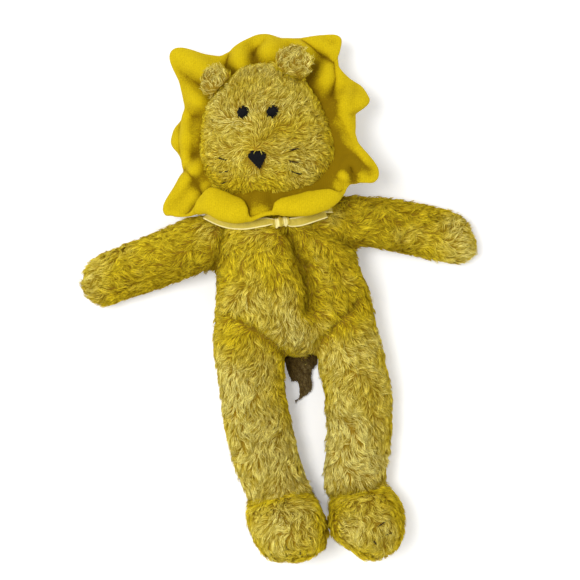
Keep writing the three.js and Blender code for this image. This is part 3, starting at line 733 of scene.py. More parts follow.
def comb_body(mesh):
    points = points_of(mesh) / MM
    x, y = points[:, 0], points[:, 1]
    side = np.sign(x)
    arm = smooth_step(np.abs(x), 42, 58) * smooth_step(y, -5, 12)
    leg = smooth_step(-y, 20, 60)
    lie = unit(np.stack([x / 50 + 3 * arm * side - 0.3 * leg * side, -1 + 0.5 * arm, 0 * x], 1))
    length, cover = np.ones(len(x)), np.ones(len(x))
    length -= 0.2 * (1 - smooth_step(normals_of(mesh)[:, 2], -0.1, 0.5))
    for route in V_SEAMS:
        near, way = way_to(points * MM, route)
        lie[:, :2] += 1.6 * bell(near, 4.5 * MM)[:, None] * way
        length -= 0.5 * bell(near, 2.5 * MM)
    # Painted shade on the arms and painted light on the legs.
    fade = 0.14 - 0.35 * arm + 0.38 * leg
    near, way = way_to(points * MM, BELLY_CREASE)
    lie[:, :2] += 0.8 * bell(near, 16 * MM)[:, None] * way
    # Painted shade along the seams' creases.
    for route, half, deep in SHADED_SEAMS:
        close = bell(way_to(points * MM, route)[0], half * MM)
        fade -= deep * close
        length -= 0.3 * close
    # Patches of painted light and shade.
    for place, reach, more in LIGHT_AND_SHADE_PATCHES:
        fade += more * bell_at(place, reach, x, y)
    return combed(mesh, lie, length, cover, fade)


def comb_round(mesh, middle, length=1.0, fade=0.4):
    points = points_of(mesh) / MM
    ones = np.ones(len(points))
    return combed(mesh, points - np.array(middle), length * ones, ones, fade)


def comb_head(mesh):
    points = moved_by(head_frame.inverted(), points_of(mesh)) / MM
    x, y, z = points.T
    front = smooth_step(z, 5, 18)
    lie = np.stack([x, y - FACE_PARTING, -0.35 * np.abs(z)], 1)
    length, cover = np.ones(len(x)), np.ones(len(x))
    for (px, py), half in [(NOSE_PLACE, NOSE_HALF), *[(eye, EYE_HALF) for eye in EYE_PLACES]]:
        away = np.hypot(x - px, y - py)
        length *= 1 - 0.45 * front * bell(away, 1.8 * half)
        cover *= 1 - front * (1 - smooth_step(away, half - 1.6, half - 0.2))
    turned = lie @ np.array(head_frame.to_3x3()).T
    fade = 0.4 - 0.25 * bell_at(CHIN, CHIN_REACH, x, y)
    return combed(mesh, turned, length, cover, fade)


SHUT_REACH = 16 * MM
all_skins = tree_of(body_skin, head_skin, *foot_skins.values())
comb_body(body_skin)
comb_head(head_skin)
for hand, skin in foot_skins.items():
    middle = points_of(skin).mean(axis=0) / MM
    comb_round(skin, (middle[0], middle[1] + 22, 20))
for hand, skin in ear_skins.items():
    middle = points_of(skin).mean(axis=0) / MM
    comb_round(skin, middle - np.array((HANDS[hand] * 14, 16, 6)), fade=0.75)
comb_round(tail_skin, (2.5, 20, 10), length=0.6)
comb_round(tuft_skin, (2.5, 60, 4))

# %% [markdown]
# Each moving body of the model carries its own piece of skin. The poured body is cut where the cloth
# can turn: under the arms, just inside the shoulders and above the hips. The cut edges meet.

# %% Sharing the skin out among the limbs
SHOULDER_CUT = 40
ARMPIT_CUT = 14.5
ARM_ALONE = 60
HIP_CUT = -38
KNEE_CUT = -88
AXES = {"x": Vector((1, 0, 0)), "y": Vector((0, 1, 0)), "z": Vector((0, 0, 1))}


def shared_out(mesh, cuts, part_at):
    """Cuts the mesh through at each (axis, place in mm) and gives each named part its faces."""
    sack = bmesh.new()
    sack.from_mesh(mesh)
    for axis, place in cuts:
        everything = list(sack.verts) + list(sack.edges) + list(sack.faces)
        bmesh.ops.bisect_plane(sack, geom=everything, dist=1e-7, plane_co=AXES[axis] * place * MM,
                               plane_no=AXES[axis])
    names = [part_at(*(face.calc_center_median() / MM)) for face in sack.faces]
    made = {}
    for name in sorted(set(names)):
        part = sack.copy()
        other = [face for face, its in zip(part.faces, names) if its != name]
        bmesh.ops.delete(part, geom=other, context="FACES")
        made[name] = bpy.data.meshes.new(name)
        part.to_mesh(made[name])
        part.free()
    sack.free()
    return made


def side_of(x):
    return "left" if x > 0 else "right"


def limb_at(x, y, z):
    if y < HIP_CUT:
        return f"leg_{side_of(x)}"
    on_arm = abs(x) > ARM_ALONE or abs(x) > SHOULDER_CUT and y > ARMPIT_CUT
    return f"arm_{side_of(x)}" if on_arm else "torso"


limb_cuts = [("x", SHOULDER_CUT), ("x", -SHOULDER_CUT), ("y", ARMPIT_CUT), ("y", HIP_CUT)]
cloths = shared_out(body_skin, limb_cuts, limb_at)
cloths |= {f"foot_{hand}": skin for hand, skin in foot_skins.items()}
cloths |= {f"ear_{hand}": skin for hand, skin in ear_skins.items()}
cloths |= {"head": head_skin, "tail": tail_skin, "tail_tuft": tuft_skin}
print("cloths:", {name: len(mesh.polygons) for name, mesh in cloths.items()})

# %% [markdown]
# Woven fur is thousands of fine fibres that cling together in small curly locks, and it is what the
# toy's look hangs on. Hair curves would be the easy way, but they can't be exported as a mesh. Here a
# Geometry Nodes tree strews fibres over a skin, gives each to its nearest lock, and bends a thin cone
# along each: it stands up first, then lies the way that it was combed, and its tip runs to its lock's.

# %% The pile's tree
FIBRE_SIDES = 3
FIBRE_BENDS = 3
TABLE_GAP = 0.3 * MM
MAP_CELLS = 160.0


class Growth(Group):
    """A geometry tree, with the few nodes that strewing and bending need."""

    def geometry(self, kind, *values, name=None, settings=None, **named):
        return self.out(self.add(kind, *values, settings=settings, **named), name)

    def read(self, name, kind="FLOAT"):
        node = self.add("GeometryNodeInputNamedAttribute", settings={"data_type": kind}, Name=name)
        return self.out(node, "Attribute")

    def read_all(self, names, kind="FLOAT"):
        return [self.read(name, kind) for name in names]

    def keep(self, geometry, name, value, kind="FLOAT", domain="POINT"):
        return self.geometry("GeometryNodeStoreNamedAttribute", geometry, Name=name, Value=value,
                             settings={"data_type": kind, "domain": domain})

    def drop(self, geometry, *names):
        for name in names:
            geometry = self.geometry("GeometryNodeRemoveAttribute", geometry, Name=name)
        return geometry

    def chance(self, low, high, which, seed):
        node = self.add("FunctionNodeRandomValue", settings={"data_type": "FLOAT"}, Min=low, Max=high,
                        ID=which, Seed=seed)
        return self.out(node)

    def parts(self, vector):
        node = self.add("ShaderNodeSeparateXYZ", vector)
        return [Wire(self, node.outputs[i]) for i in range(3)]

    def whole(self, x, y, z):
        return self.out(self.add("ShaderNodeCombineXYZ", x, y, z))

    def lowest(self, place, height):
        x, y, z = self.parts(place)
        return self.whole(x, y, self.number("MAXIMUM", z, height))


def pile_tree():
    tree = Growth("pile", "GeometryNodeTree", {
        "Skin": ("NodeSocketGeometry", None),
        "Fibres per area": ("NodeSocketFloat", 1e6),
        "Locks per area": ("NodeSocketFloat", 1e5),
        "Length": ("NodeSocketFloat", 8 * MM),
        "Width": ("NodeSocketFloat", 0.255 * MM),
        "Stand": ("NodeSocketFloat", 0.7),
        "Swirl": ("NodeSocketFloat", 1.5),
        "Swirl size": ("NodeSocketFloat", 60.0),
        "Gather": ("NodeSocketFloat", 0.5),
        "Curl": ("NodeSocketFloat", 0.15),
        "Seed": ("NodeSocketInt", 1),
        "Material": ("NodeSocketMaterial", None),
    }, {"Pile": "NodeSocketGeometry"})
    strew_and_comb(tree)
    return tree


def strew_and_comb(tree):
    skin, seed = tree.taken("Skin"), tree.taken("Seed")
    here = tree.geometry("GeometryNodeInputPosition")
    strewn = tree.add("GeometryNodeDistributePointsOnFaces", skin, Seed=seed,
                      Density=tree.taken("Fibres per area") * tree.read("cover"))
    locks = tree.geometry("GeometryNodeDistributePointsOnFaces", skin, name="Points",
                          Density=tree.taken("Locks per area"), Seed=seed + 7)
    lock = tree.geometry("GeometryNodeSampleNearest", locks, Sample_Position=here)
    heart = tree.geometry("GeometryNodeSampleIndex", locks, Value=here, Index=lock,
                          settings={"data_type": "FLOAT_VECTOR"})
    which = tree.geometry("GeometryNodeInputIndex")

    up, lie = tree.out(strewn, "Normal"), tree.read("lie", "FLOAT_VECTOR")
    flat = tree.vector("NORMALIZE", lie - up * tree.vector("DOT_PRODUCT", lie, up))
    across = tree.vector("CROSS_PRODUCT", up, flat)
    wide = tree.noise(heart, tree.taken("Swirl size"), 1.0) - 0.5
    small = tree.noise(heart, tree.taken("Swirl size") * 3.1, 1.0) - 0.5
    turn = ((wide * 3.2 + small * 2.2) * tree.taken("Swirl") + tree.chance(-0.3, 0.3, lock, 3)
            + tree.chance(-0.16, 0.16, which, 4))
    lay = flat * tree.number("COSINE", turn) + across * tree.number("SINE", turn)
    long = (tree.read("pile_length") * tree.taken("Length") * tree.chance(0.8, 1.15, lock, 5)
            * tree.chance(0.75, 1.1, which, 6))
    stand = tree.taken("Stand") * tree.chance(0.7, 1.25, lock, 8) * tree.chance(0.85, 1.15, which, 9)
    kept = tree.out(strewn, "Points")
    for name, value in {"up": up, "lay": lay, "root": here, "pull": heart - here}.items():
        kept = tree.keep(kept, name, value, "FLOAT_VECTOR")
    for name, value in {
        "long": long, "stand": stand, "which": which,
        "tint": tree.chance(0, 0.62, which, 10) + tree.chance(0, 0.38, lock, 13),
        "phase": tree.chance(0, 6.28, lock, 11) + tree.chance(0, 1.5, which, 12),
    }.items():
        kept = tree.keep(kept, name, value)
    kept = tree.drop(kept, "lie", "cover", "pile_length")
    tree.give("Pile", bent(tree, kept))


def fibre_mesh(tree):
    cone = tree.add("GeometryNodeMeshCone", FIBRE_SIDES, FIBRE_BENDS, settings={"fill_type": "NONE"},
                    Radius_Top=0.0, Radius_Bottom=1.0, Depth=1.0)
    x, y, z = tree.parts(tree.geometry("GeometryNodeInputPosition"))
    mesh = tree.keep(tree.out(cone, "Mesh"), "along", z)
    return tree.keep(mesh, "ring", tree.vector("NORMALIZE", tree.whole(x, y, 0.0)), "FLOAT_VECTOR")


def bent(tree, points):
    grown = tree.geometry("GeometryNodeInstanceOnPoints", points, Instance=fibre_mesh(tree))
    grown = tree.geometry("GeometryNodeRealizeInstances", grown)
    up, lay, root, pull, ring = tree.read_all(("up", "lay", "root", "pull", "ring"), "FLOAT_VECTOR")
    along, long, stand, phase, which = tree.read_all(("along", "long", "stand", "phase", "which"))
    side = tree.vector("CROSS_PRODUCT", up, lay)
    rise = stand * along * (along * -0.55 + 1.0)
    run = along * (along * 0.55 + 0.4)
    wave = tree.number("SINE", along * 5.0 + phase) * along * tree.taken("Curl")
    middle = root + up * (long * rise) + lay * (long * run) + side * (long * wave)
    middle = middle + pull * (along * along * tree.taken("Gather"))
    heading = tree.vector("NORMALIZE", up * (stand * (along * -1.1 + 1.0)) + lay * (along * 1.1 + 0.4))
    outwards = tree.vector("CROSS_PRODUCT", side, heading)
    thick = tree.taken("Width") * (along * along * -0.75 + 1.0)
    x, y, z = tree.parts(ring)
    place = middle + side * (x * thick) + outwards * (y * thick)
    grown = tree.geometry("GeometryNodeSetPosition", grown, Position=tree.lowest(place, TABLE_GAP))
    grown = celled(tree, grown, which, along, x, y)
    grown = tree.drop(grown, "up", "lay", "root", "pull", "ring", "long", "stand", "phase", "which")
    grown = tree.geometry("GeometryNodeSetShadeSmooth", grown)
    return tree.geometry("GeometryNodeSetMaterial", grown, Material=tree.taken("Material"))


def celled(tree, grown, which, along, x, y):
    """Gives each fibre its own small cell of the OFBake map."""
    row = tree.number("FLOOR", which / MAP_CELLS)
    column = which - row * MAP_CELLS
    across = x * 0.37 + y * 0.1 + 0.5
    place = tree.whole((column + across) / MAP_CELLS, (row + along * 0.8 + 0.1) / MAP_CELLS, 0.0)
    return tree.keep(grown, "OFBake", place, "FLOAT2", "CORNER")


pile = pile_tree()
print("the pile's tree has", len(pile.nodes), "nodes")

# %% [markdown]
# A tree grows its pile through a modifier. The modifier's inputs are set by the identifiers of their
# sockets, and its result is taken as a plain mesh of one material.

# %% Growing


def grown(name, carrier, tree, **inputs):
    made = object_of(name, carrier)
    modifier = made.modifiers.new("grow", "NODES")
    modifier.node_group = tree.group
    for label, value in inputs.items():
        modifier[tree.sockets[label.replace("_", " ")]] = value
    mesh = result_of(made)
    bpy.data.objects.remove(made)
    return object_of(name, mesh)


# %% [markdown]
# A fibre is darkest at its root, where the others shade it and the dye lies thick, and palest at its
# tip, where handling has worn it and a painted sheen pales the brightest fibres. Locks differ a little,
# and wide patches of the toy have faded. The combing adds painted light and shade to that, and in
# painted shade the fibres turn darker and warmer. One group mixes that for the golden plush, the
# brown tuft and the cloth that the pile grows from.

# %% The dye and the plush


class Finish(Tree):
    """A material with one Principled shader."""

    def __init__(self, name):
        self.material = bpy.data.materials.new(name)
        self.material.use_nodes = True
        super().__init__(self.material.node_tree.nodes, self.material.node_tree.links)
        self.shader = next(node for node in self.nodes if node.type == "BSDF_PRINCIPLED")

    def set(self, **values):
        for name, value in values.items():
            self.feed(self.shader.inputs[name.replace("_", " ")], value)
        return self

    def read(self, name):
        node = self.add("ShaderNodeAttribute", settings={"attribute_name": name})
        return Wire(self, node.outputs["Fac"])

    def place(self):
        return Wire(self, self.nodes.new("ShaderNodeTexCoord").outputs["Object"])

    def use(self, group, output, **values):
        node = self.nodes.new("ShaderNodeGroup")
        node.node_tree = group.group
        for name, value in values.items():
            self.feed(node.inputs[name.replace("_", " ")], value)
        return Wire(self, node.outputs[output])

    def bump(self, height, distance, strength=1.0):
        node = self.add("ShaderNodeBump", Height=height, Distance=distance, Strength=strength)
        return Wire(self, node.outputs[0])


def blended(tree, share, one, other):
    node = tree.add("ShaderNodeMix", settings={"data_type": "RGBA"}, Factor=share, A=one, B=other)
    return tree.out(node, "Result")


def paint(red, green, blue):
    return (red, green, blue, 1)


def dye_group():
    tree = Group("dye", "ShaderNodeTree", {
        "Place": ("NodeSocketVector", None),
        "Along": ("NodeSocketFloat", 0.5),
        "Tint": ("NodeSocketFloat", 0.5),
        "Root": ("NodeSocketColor", paint(0.3, 0.2, 0.01)),
        "Tip": ("NodeSocketColor", paint(0.7, 0.6, 0.1)),
        "Faded": ("NodeSocketColor", paint(0.7, 0.6, 0.3)),
        "Fade": ("NodeSocketFloat", 0.5),
    }, {"Colour": "NodeSocketColor"})
    place, along = tree.taken("Place"), tree.taken("Along")
    patch = (tree.noise(place, 28.0, 3.0) - 0.5) * 2.2 + tree.taken("Fade")
    small = tree.noise(place, 210.0, 1.0)
    # Where the input is below nothing it darkens the fibre as painted shade.
    dusk = tree.number("MINIMUM", tree.taken("Fade"), 0.0) * 0.42 + 1.0
    # The brightest fibres get the palest tips, partly as painted sheen.
    tip = blended(tree, patch * (tree.taken("Tint") * 1.6 + 0.1), tree.taken("Tip"), tree.taken("Faded"))
    colour = blended(tree, along ** 0.7 * (tree.taken("Tint") * 1.1 + 0.35), tree.taken("Root"), tip)
    light = (tree.taken("Tint") * 0.5 + small * 0.34 + 0.6) * dusk
    # Darker fibres turn warmer, the painted shade among them.
    warm = tree.add("ShaderNodeMix", settings={"data_type": "RGBA", "blend_type": "MULTIPLY"},
                    Factor=light * -1.6 + 1.66, A=colour * light, B=paint(1.0, 0.86, 0.5))
    tree.give("Colour", tree.out(warm, "Result"))
    return tree


dye = dye_group()


def plush(name, root, tip, pale_tip, roughness=0.5):
    finish = Finish(name)
    colour = finish.use(dye, "Colour", Place=finish.place(), Along=finish.read("along"),
                        Tint=finish.read("tint"), Fade=finish.read("fade"), Root=root, Tip=tip, Faded=pale_tip)
    finish.set(Base_Color=colour, Roughness=roughness, Specular_IOR_Level=0.06)
    return finish.material


golden = plush("golden_plush", paint(0.42, 0.255, 0.0), paint(0.92, 0.745, 0.03), paint(1.0, 0.91, 0.28))
brown = plush("brown_plush", paint(0.07, 0.04, 0.007), paint(0.19, 0.125, 0.032), paint(0.25, 0.19, 0.08))


def backing(name, colour, worn):
    """The knitted cloth that holds the pile: fine rows of loops."""
    finish = Finish(name)
    place = finish.place()
    tone = finish.use(dye, "Colour", Place=place, Root=colour, Tip=worn, Faded=worn)
    rows = finish.add("ShaderNodeTexWave", place, Scale=420.0, Distortion=1.5, Detail=1.0)
    finish.set(Base_Color=tone, Roughness=0.85, Normal=finish.bump(Wire(finish, rows.outputs[1]), 0.3 * MM))
    return finish.material


golden_backing = backing("golden_backing", paint(0.34, 0.195, 0.001), paint(0.42, 0.27, 0.004))
brown_backing = backing("brown_backing", paint(0.05, 0.025, 0.005), paint(0.12, 0.07, 0.02))

# %% [markdown]
# The pile is grown region by region, because no mesh should hold much more than 200,000 triangles:
# the torso in four, each leg in two and the head in three. Every region's pile goes with the cloth
# that it grows from. Fibres are thick for fibres, as each stands for several that cling together.

# %% Growing the pile
PILE_LENGTHS = {"torso": 7.6, "arm": 7.2, "leg": 7.4, "foot": 7.0, "head": 6.0, "ear": 4.8, "tail": 4.5}
FIBRES = 1.22e6
# How the locks swirl, by part
WAVES = {
    "torso": dict(Locks_per_area=1.5e5),
    "head": dict(Locks_per_area=3e5, Curl=0.15, Gather=0.4),
    "ear": dict(Locks_per_area=1.8e5, Swirl=2.3, Swirl_size=100.0, Curl=0.3, Gather=0.5),
}
REGIONS = {
    "torso": ([("x", 0), ("z", 22)], lambda x, y, z: ("front_" if z > 22 else "back_") + side_of(x)),
    "leg": ([("y", KNEE_CUT)], lambda x, y, z: "upper" if y > KNEE_CUT else "lower"),
    "head": ([("x", 2), ("z", 42)], lambda x, y, z: ("front_" + side_of(x - 2)) if z > 42 else "back"),
}
pieces = {}


def kind_of(part):
    return part.split("_")[0]


def grow_pile(part, skin):
    cuts, region_at = REGIONS.get(kind_of(part), ([], lambda x, y, z: ""))
    for region, mesh in shared_out(skin, cuts, region_at).items():
        name = "_".join(word for word in (part, region, "pile") if word)
        pieces[name] = grown(name, mesh, pile, Fibres_per_area=FIBRES, Material=golden,
                             Length=PILE_LENGTHS[kind_of(part)] * MM, Seed=len(pieces) + 1,
                             **WAVES.get(kind_of(part), WAVES["torso"]))
        count = len(pieces[name].data.polygons)
        print(name, "has", count, "faces")


for part, skin in cloths.items():
    if part != "tail_tuft":
        grow_pile(part, skin)

# %% [markdown]
# The tail's tuft is a flat rag of short brown pile, combed straight and hardly standing. Its wide end
# under the crotch is partly painted shadow between the legs.

# %% Growing the tail's tuft
pieces["tail_tuft_pile"] = grown("tail_tuft_pile", cloths["tail_tuft"], pile, Fibres_per_area=5e6,
                                 Locks_per_area=3e5, Length=2.4 * MM, Stand=0.3, Width=0.2 * MM,
                                 Swirl=0.7, Gather=0.4, Seed=40, Material=brown)
print("the tuft has", len(pieces["tail_tuft_pile"].data.polygons), "faces")

# %% [markdown]
# Eyes, nose, whiskers and claws are sewn with thick thread. An eye or a nose is a satin patch, which
# is many stitches side by side. A whisker or a claw is two stitches in the same holes. One
# tree draws them all: each point of its carrier holds a stitch's two ends, the way up and the height
# of its arch, and the tree bends a thread from end to end.

# %% The stitches' tree
THREAD_SIDES, THREAD_BENDS = 6, 8


def stitch_tree():
    tree = Growth("stitches", "GeometryNodeTree", {
        "Rows": ("NodeSocketGeometry", None),
        "Thread": ("NodeSocketFloat", 0.4 * MM),
        "Material": ("NodeSocketMaterial", None),
    }, {"Stitches": "NodeSocketGeometry"})
    thread = tree.add("GeometryNodeMeshCylinder", THREAD_SIDES, THREAD_BENDS, Radius=1.0, Depth=1.0,
                      settings={"fill_type": "TRIANGLE_FAN"})
    x, y, z = tree.parts(tree.geometry("GeometryNodeInputPosition"))
    mesh = tree.keep(tree.out(thread, "Mesh"), "along", z + 0.5)
    mesh = tree.keep(mesh, "ring", tree.whole(x, y, 0.0), "FLOAT_VECTOR")
    made = tree.geometry("GeometryNodeInstanceOnPoints", tree.taken("Rows"), Instance=mesh)
    made = tree.geometry("GeometryNodeRealizeInstances", made)
    start, finish, up, ring = tree.read_all(("start", "finish", "up", "ring"), "FLOAT_VECTOR")
    along, arch = tree.read("along"), tree.read("arch")
    run = tree.vector("NORMALIZE", finish - start)
    side = tree.vector("CROSS_PRODUCT", up, run)
    swell = tree.number("SQRT", tree.number("MAXIMUM", along * 4.0 - along * along * 4.0, 0.0))
    middle = start + (finish - start) * along + up * (arch * swell)
    x, y, z = tree.parts(ring)
    thick = tree.taken("Thread") * (swell * 0.35 + 0.65)
    made = tree.geometry("GeometryNodeSetPosition", made,
                         Position=middle + side * (x * thick) + up * (y * thick))
    made = tree.drop(made, "start", "finish", "up", "ring", "arch")
    made = tree.geometry("GeometryNodeSetShadeSmooth", made)
    tree.give("Stitches", tree.geometry("GeometryNodeSetMaterial", made, Material=tree.taken("Material")))
    return tree


stitching = stitch_tree()
head_seen = tree_of(cloths["head"])


def sewn(name, stitches, thread, material):
    """stitches: rows of start, finish, the way up and the arch's height, in metres."""
    carrier = mesh_of(name, [start for start, _, _, _ in stitches], [])
    for i, kept in enumerate(("start", "finish", "up")):
        keep_on_points(carrier, kept, np.array([tuple(stitch[i]) for stitch in stitches]))
    keep_on_points(carrier, "arch", np.array([arch for _, _, _, arch in stitches]))
    return grown(name, carrier, stitching, Thread=thread, Material=material)


# %% [markdown]
# Thread is twisted from plies, so fine slanting ridges run round it, and satin stitches shine a little.

# %% Threads


def thread_finish(name, colour, shine):
    finish = Finish(name)
    place = finish.place()
    plies = finish.add("ShaderNodeTexWave", place, Scale=900.0, Distortion=2.0, Detail=0.0,
                       settings={"bands_direction": "DIAGONAL"})
    tone = finish.use(dye, "Colour", Place=place, Root=colour, Tip=colour,
                      Faded=tuple(1.7 * part for part in colour[:3]) + (1,))
    ridges = finish.bump(Wire(finish, plies.outputs[1]), 0.15 * MM)
    finish.set(Base_Color=tone, Roughness=shine, Specular_IOR_Level=0.15, Normal=ridges)
    return finish.material


black_thread = thread_finish("black_thread", paint(0.003, 0.003, 0.004), 0.7)
brown_thread = thread_finish("brown_thread", paint(0.02, 0.012, 0.005), 0.7)

# %% [markdown]
# The face's patches are worked from where a ray, dropped on the face, meets the cloth.

# %% Eyes and nose
EYE_RADIUS, EYE_RISE = 3.6, 2.8
NOSE_HALF_WIDTH, NOSE_HALF_HEIGHT, NOSE_RISE = 5.8, 6.2, 4.4
NOSE_TIP_ASIDE = 0.22
ROW_GAP = 0.55
PATCH_THREAD, NOSE_THREAD, STRAIGHT_THREAD = 0.4 * MM, 0.42 * MM, 0.34 * MM


def on_face(x, y):
    """Where the face's cloth lies under a place on the face, in mm in the head's own frame."""
    start, down = head_frame @ in_mm(x, y, 90), head_frame.to_3x3() @ Vector((0, 0, -1))
    return head_seen.ray_cast(start, down)


def patch(rows, middle, rise):
    """Stitches for a crowned patch. Each row is its x and its lowest and highest y."""
    up = on_face(*middle)[1]
    widest = max(high - low for _, low, high in rows)
    made = []
    for x, low, high in rows:
        start = on_face(middle[0] + x, middle[1] + low)[0]
        finish = on_face(middle[0] + x, middle[1] + high)[0]
        made.append((start, finish, up, rise * MM * math.sqrt((high - low) / widest)))
    return made


def round_rows(radius):
    count = int(2 * radius / ROW_GAP)
    rows = []
    for i in range(count):
        x = radius * ((2 * i + 1) / count - 1)
        half = math.sqrt(radius ** 2 - x ** 2)
        rows.append((x, -half * (1 + 0.1 * math.sin(5 * i)), half * (1 + 0.1 * math.cos(7 * i))))
    return rows


def ragged_rim(middle, radius, number=15):
    """Short stray stitches that stick out all round an eye."""
    made = []
    for i in range(number):
        turn = 2 * math.pi * i / number + 0.2 * math.sin(3 * i)
        far = radius + 0.6 + 0.5 * math.sin(7 * i)
        start = on_face(middle[0] + 0.6 * radius * math.cos(turn), middle[1] + 0.6 * radius * math.sin(turn))
        finish = on_face(middle[0] + far * math.cos(turn), middle[1] + far * math.sin(turn))
        made.append((start[0], finish[0], start[1], 0.9 * EYE_RISE * MM))
    return made


def nose_rows():
    count = int(2 * NOSE_HALF_WIDTH / ROW_GAP)
    rows = []
    for i in range(count):
        share = (2 * i + 1) / count - 1
        top = NOSE_HALF_HEIGHT * (1 - 0.55 * abs(share) ** 5 - 0.16 * bell(share, 0.25))
        aside = share - NOSE_TIP_ASIDE
        reach = 1 - NOSE_TIP_ASIDE * math.copysign(1, aside)
        low = NOSE_HALF_HEIGHT * (-1 + 1.3 * abs(aside) ** 1.1 / reach ** 1.1)
        rows.append((share * NOSE_HALF_WIDTH, low + 0.3 * math.sin(3 * i), top + 0.25 * math.cos(5 * i)))
    return rows


for hand, middle in zip(HANDS, EYE_PLACES):
    name = f"eye_{hand}_stitches"
    rows = patch(round_rows(EYE_RADIUS), middle, EYE_RISE) + ragged_rim(middle, EYE_RADIUS)
    pieces[name] = sewn(name, rows, PATCH_THREAD, black_thread)
rows = patch(nose_rows(), NOSE_PLACE, NOSE_RISE)
pieces["nose_stitches"] = sewn("nose_stitches", rows, NOSE_THREAD, black_thread)

# %% [markdown]
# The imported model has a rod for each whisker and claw. Its two ends say where the thread goes in.

# %% Whiskers and claws
STITCH_ARCH = 2.1
STITCHES_TOGETHER = 2


def ends_of(node):
    points = points_of(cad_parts[node].data)
    middle = points.mean(axis=0)
    run = np.linalg.svd(points - middle, full_matrices=False)[2][0]
    along = (points - middle) @ run
    return Vector(middle + run * along.min()), Vector(middle + run * along.max())


def straight_stitches(node, cloth):
    tree = tree_of(cloth)
    start, finish = ends_of(node)
    side = (finish - start).normalized().cross(tree.find_nearest(start)[1]) * 0.5 * MM
    rows = []
    for i in range(STITCHES_TOGETHER):
        a, up = tree.find_nearest(start + side * (2 * i - 1))[:2]
        b = tree.find_nearest(finish - side * (1.4 * i - 0.7))[0]
        rows.append((a, b, up, STITCH_ARCH * MM))
    return rows


for hand in HANDS:
    for number in (1, 2, 3):
        for node, cloth in ((f"whisker_{hand}_{number}", "head"), (f"claw_{hand}_{number}", f"foot_{hand}")):
            rows = straight_stitches(node, cloths[cloth])
            pieces[f"{node}_thread"] = sewn(f"{node}_thread", rows, STRAIGHT_THREAD, brown_thread)
print("sewn:", [name for name in pieces if "stitches" in name or "thread" in name])

# %% [markdown]
# The mane is two layers of velour, sewn together at their edge, turned, and sewn into the seam that
# runs round behind the face. Its edge has nine soft points. Those beside the face lie back on the
# table, and the two under the chin have rolled forwards. The rows below give the edge as it lies,
# seen from the front: how far it is from the middle of the face at each angle, in degrees and mm.

# %% The mane's lie
MANE_MIDDLE = (2.2, 54.4)
MANE_EDGE = [
    (-180, 66.5), (-173, 68.5), (-166, 63.9), (-160, 63), (-154, 63.6), (-147.5, 76), (-145.5, 87.5),
    (-141, 89.9), (-136, 85), (-132, 76), (-126, 66), (-118, 65.4), (-107, 63.5), (-97, 60), (-88, 56),
    (-80, 56), (-70, 59.5), (-60, 63.5), (-50, 66.5), (-42, 66.5), (-35, 65.9), (-31.5, 68.3),
    (-28, 77.5), (-24, 78.9), (-20, 76.7), (-15, 67.3), (-10, 59.3), (-3, 55.5), (5, 55.2), (12, 55.8),
    (15.5, 67), (19, 66.6), (26, 64.8), (33, 60.5), (39, 59.5), (46, 60.4), (50, 66), (53, 75),
    (57, 75.5), (62, 71.5), (69, 66.1), (78, 62.5), (87, 61), (96, 64.6), (102, 65.2), (111, 63.5),
    (120, 60.9), (127, 61.5), (134, 70.4), (139, 85.8), (142, 88.6), (145, 87.5), (148, 82),
    (152, 72.1), (158, 65.5), (165, 60.6), (172, 61.6), (180, 66.5),
]
MANE_FLOPS = [
    (-180, -52), (-146, -20), (-125, 6), (-90, 14), (-45, 8), (-22, -22), (14, -50), (52, -30),
    (95, -56), (142, -24), (180, -52),
]
# How much cloth has rolled back past the fold under the chin, by angle
MANE_ROLLS = [
    (-133, 0), (-130.5, 7), (-126, 12.5), (-118, 15), (-111.5, 14), (-105, 9), (-99, 4.5), (-92, 3),
    (-85, 3.5), (-78, 7), (-71, 10), (-63, 12.5), (-54, 13), (-47, 10), (-41, 5), (-35, 0),
]
# How far the rolled cloth leans sideways as it goes back, by angle
MANE_LEANS = [
    (-150, 0), (-134, -0.6), (-126, -0.4), (-117, 0.1), (-106, 0.3), (-94, 0.15), (-84, -0.2),
    (-70, -0.3), (-54, -0.1), (-42, 0.1), (-20, 0),
]
# How much painted shade the velour gets near the face, by angle
MANE_SHADE = [
    (-180, 0.3), (-150, 0.5), (-120, 0.5), (-92, 1.2), (-66, 1.0), (-46, 1.2), (-20, 1.5), (8, 1.2),
    (38, 0.7), (60, 0.9), (80, 0.5), (100, 0.4), (122, 0.5), (150, 0.5), (180, 0.3),
]
# Places shut in among folds that get painted shade: place and reach in mm, how much deeper
MANE_SHADED_PLACES = [
    ((45.5, 76), 9, 1.2), ((57.5, 68), 8, 2.0), ((49, 84), 9, 0.5), ((-50, 80), 7, 0.5),
    ((-8, 57), 9, 0.7), ((52, 118), 10, 0.3),
]
MANE_SPOKES, MANE_ROWS = 300, 26
MANE_TUCK = 4.0
MANE_FOLDS = [
    # angle, half width in degrees, height in mm, how far along it is highest
    (138, 5, 4, 0.5), (127, 4.5, -5, 0.5), (116, 5, 5, 0.5), (105, 5, -4, 0.45), (92, 7, 5.5, 0.55),
    (79, 4.5, -5, 0.5), (68, 5, 4.5, 0.5), (56, 5, -4, 0.5), (43, 6, 4.0, 0.7), (30, 5.5, -3.0, 0.75),
    (16, 7, 3.0, 0.8), (1, 7, -2.5, 0.8), (-14, 7, 3.0, 0.8), (-31, 4, 1.5, 0.75), (-150, 5, 5, 0.6),
    (-162, 5, -5, 0.45), (-174, 6, 4.5, 0.5), (171, 5, -4.5, 0.5), (158, 5, 4.5, 0.5), (148, 4, -4, 0.5),
    (-84, 6, -3, 0.6), (-97, 6, 2.5, 0.35), (-60, 8, 2, 0.3), (-120, 7, 2, 0.3), (-133, 3, -4, 0.5),
]
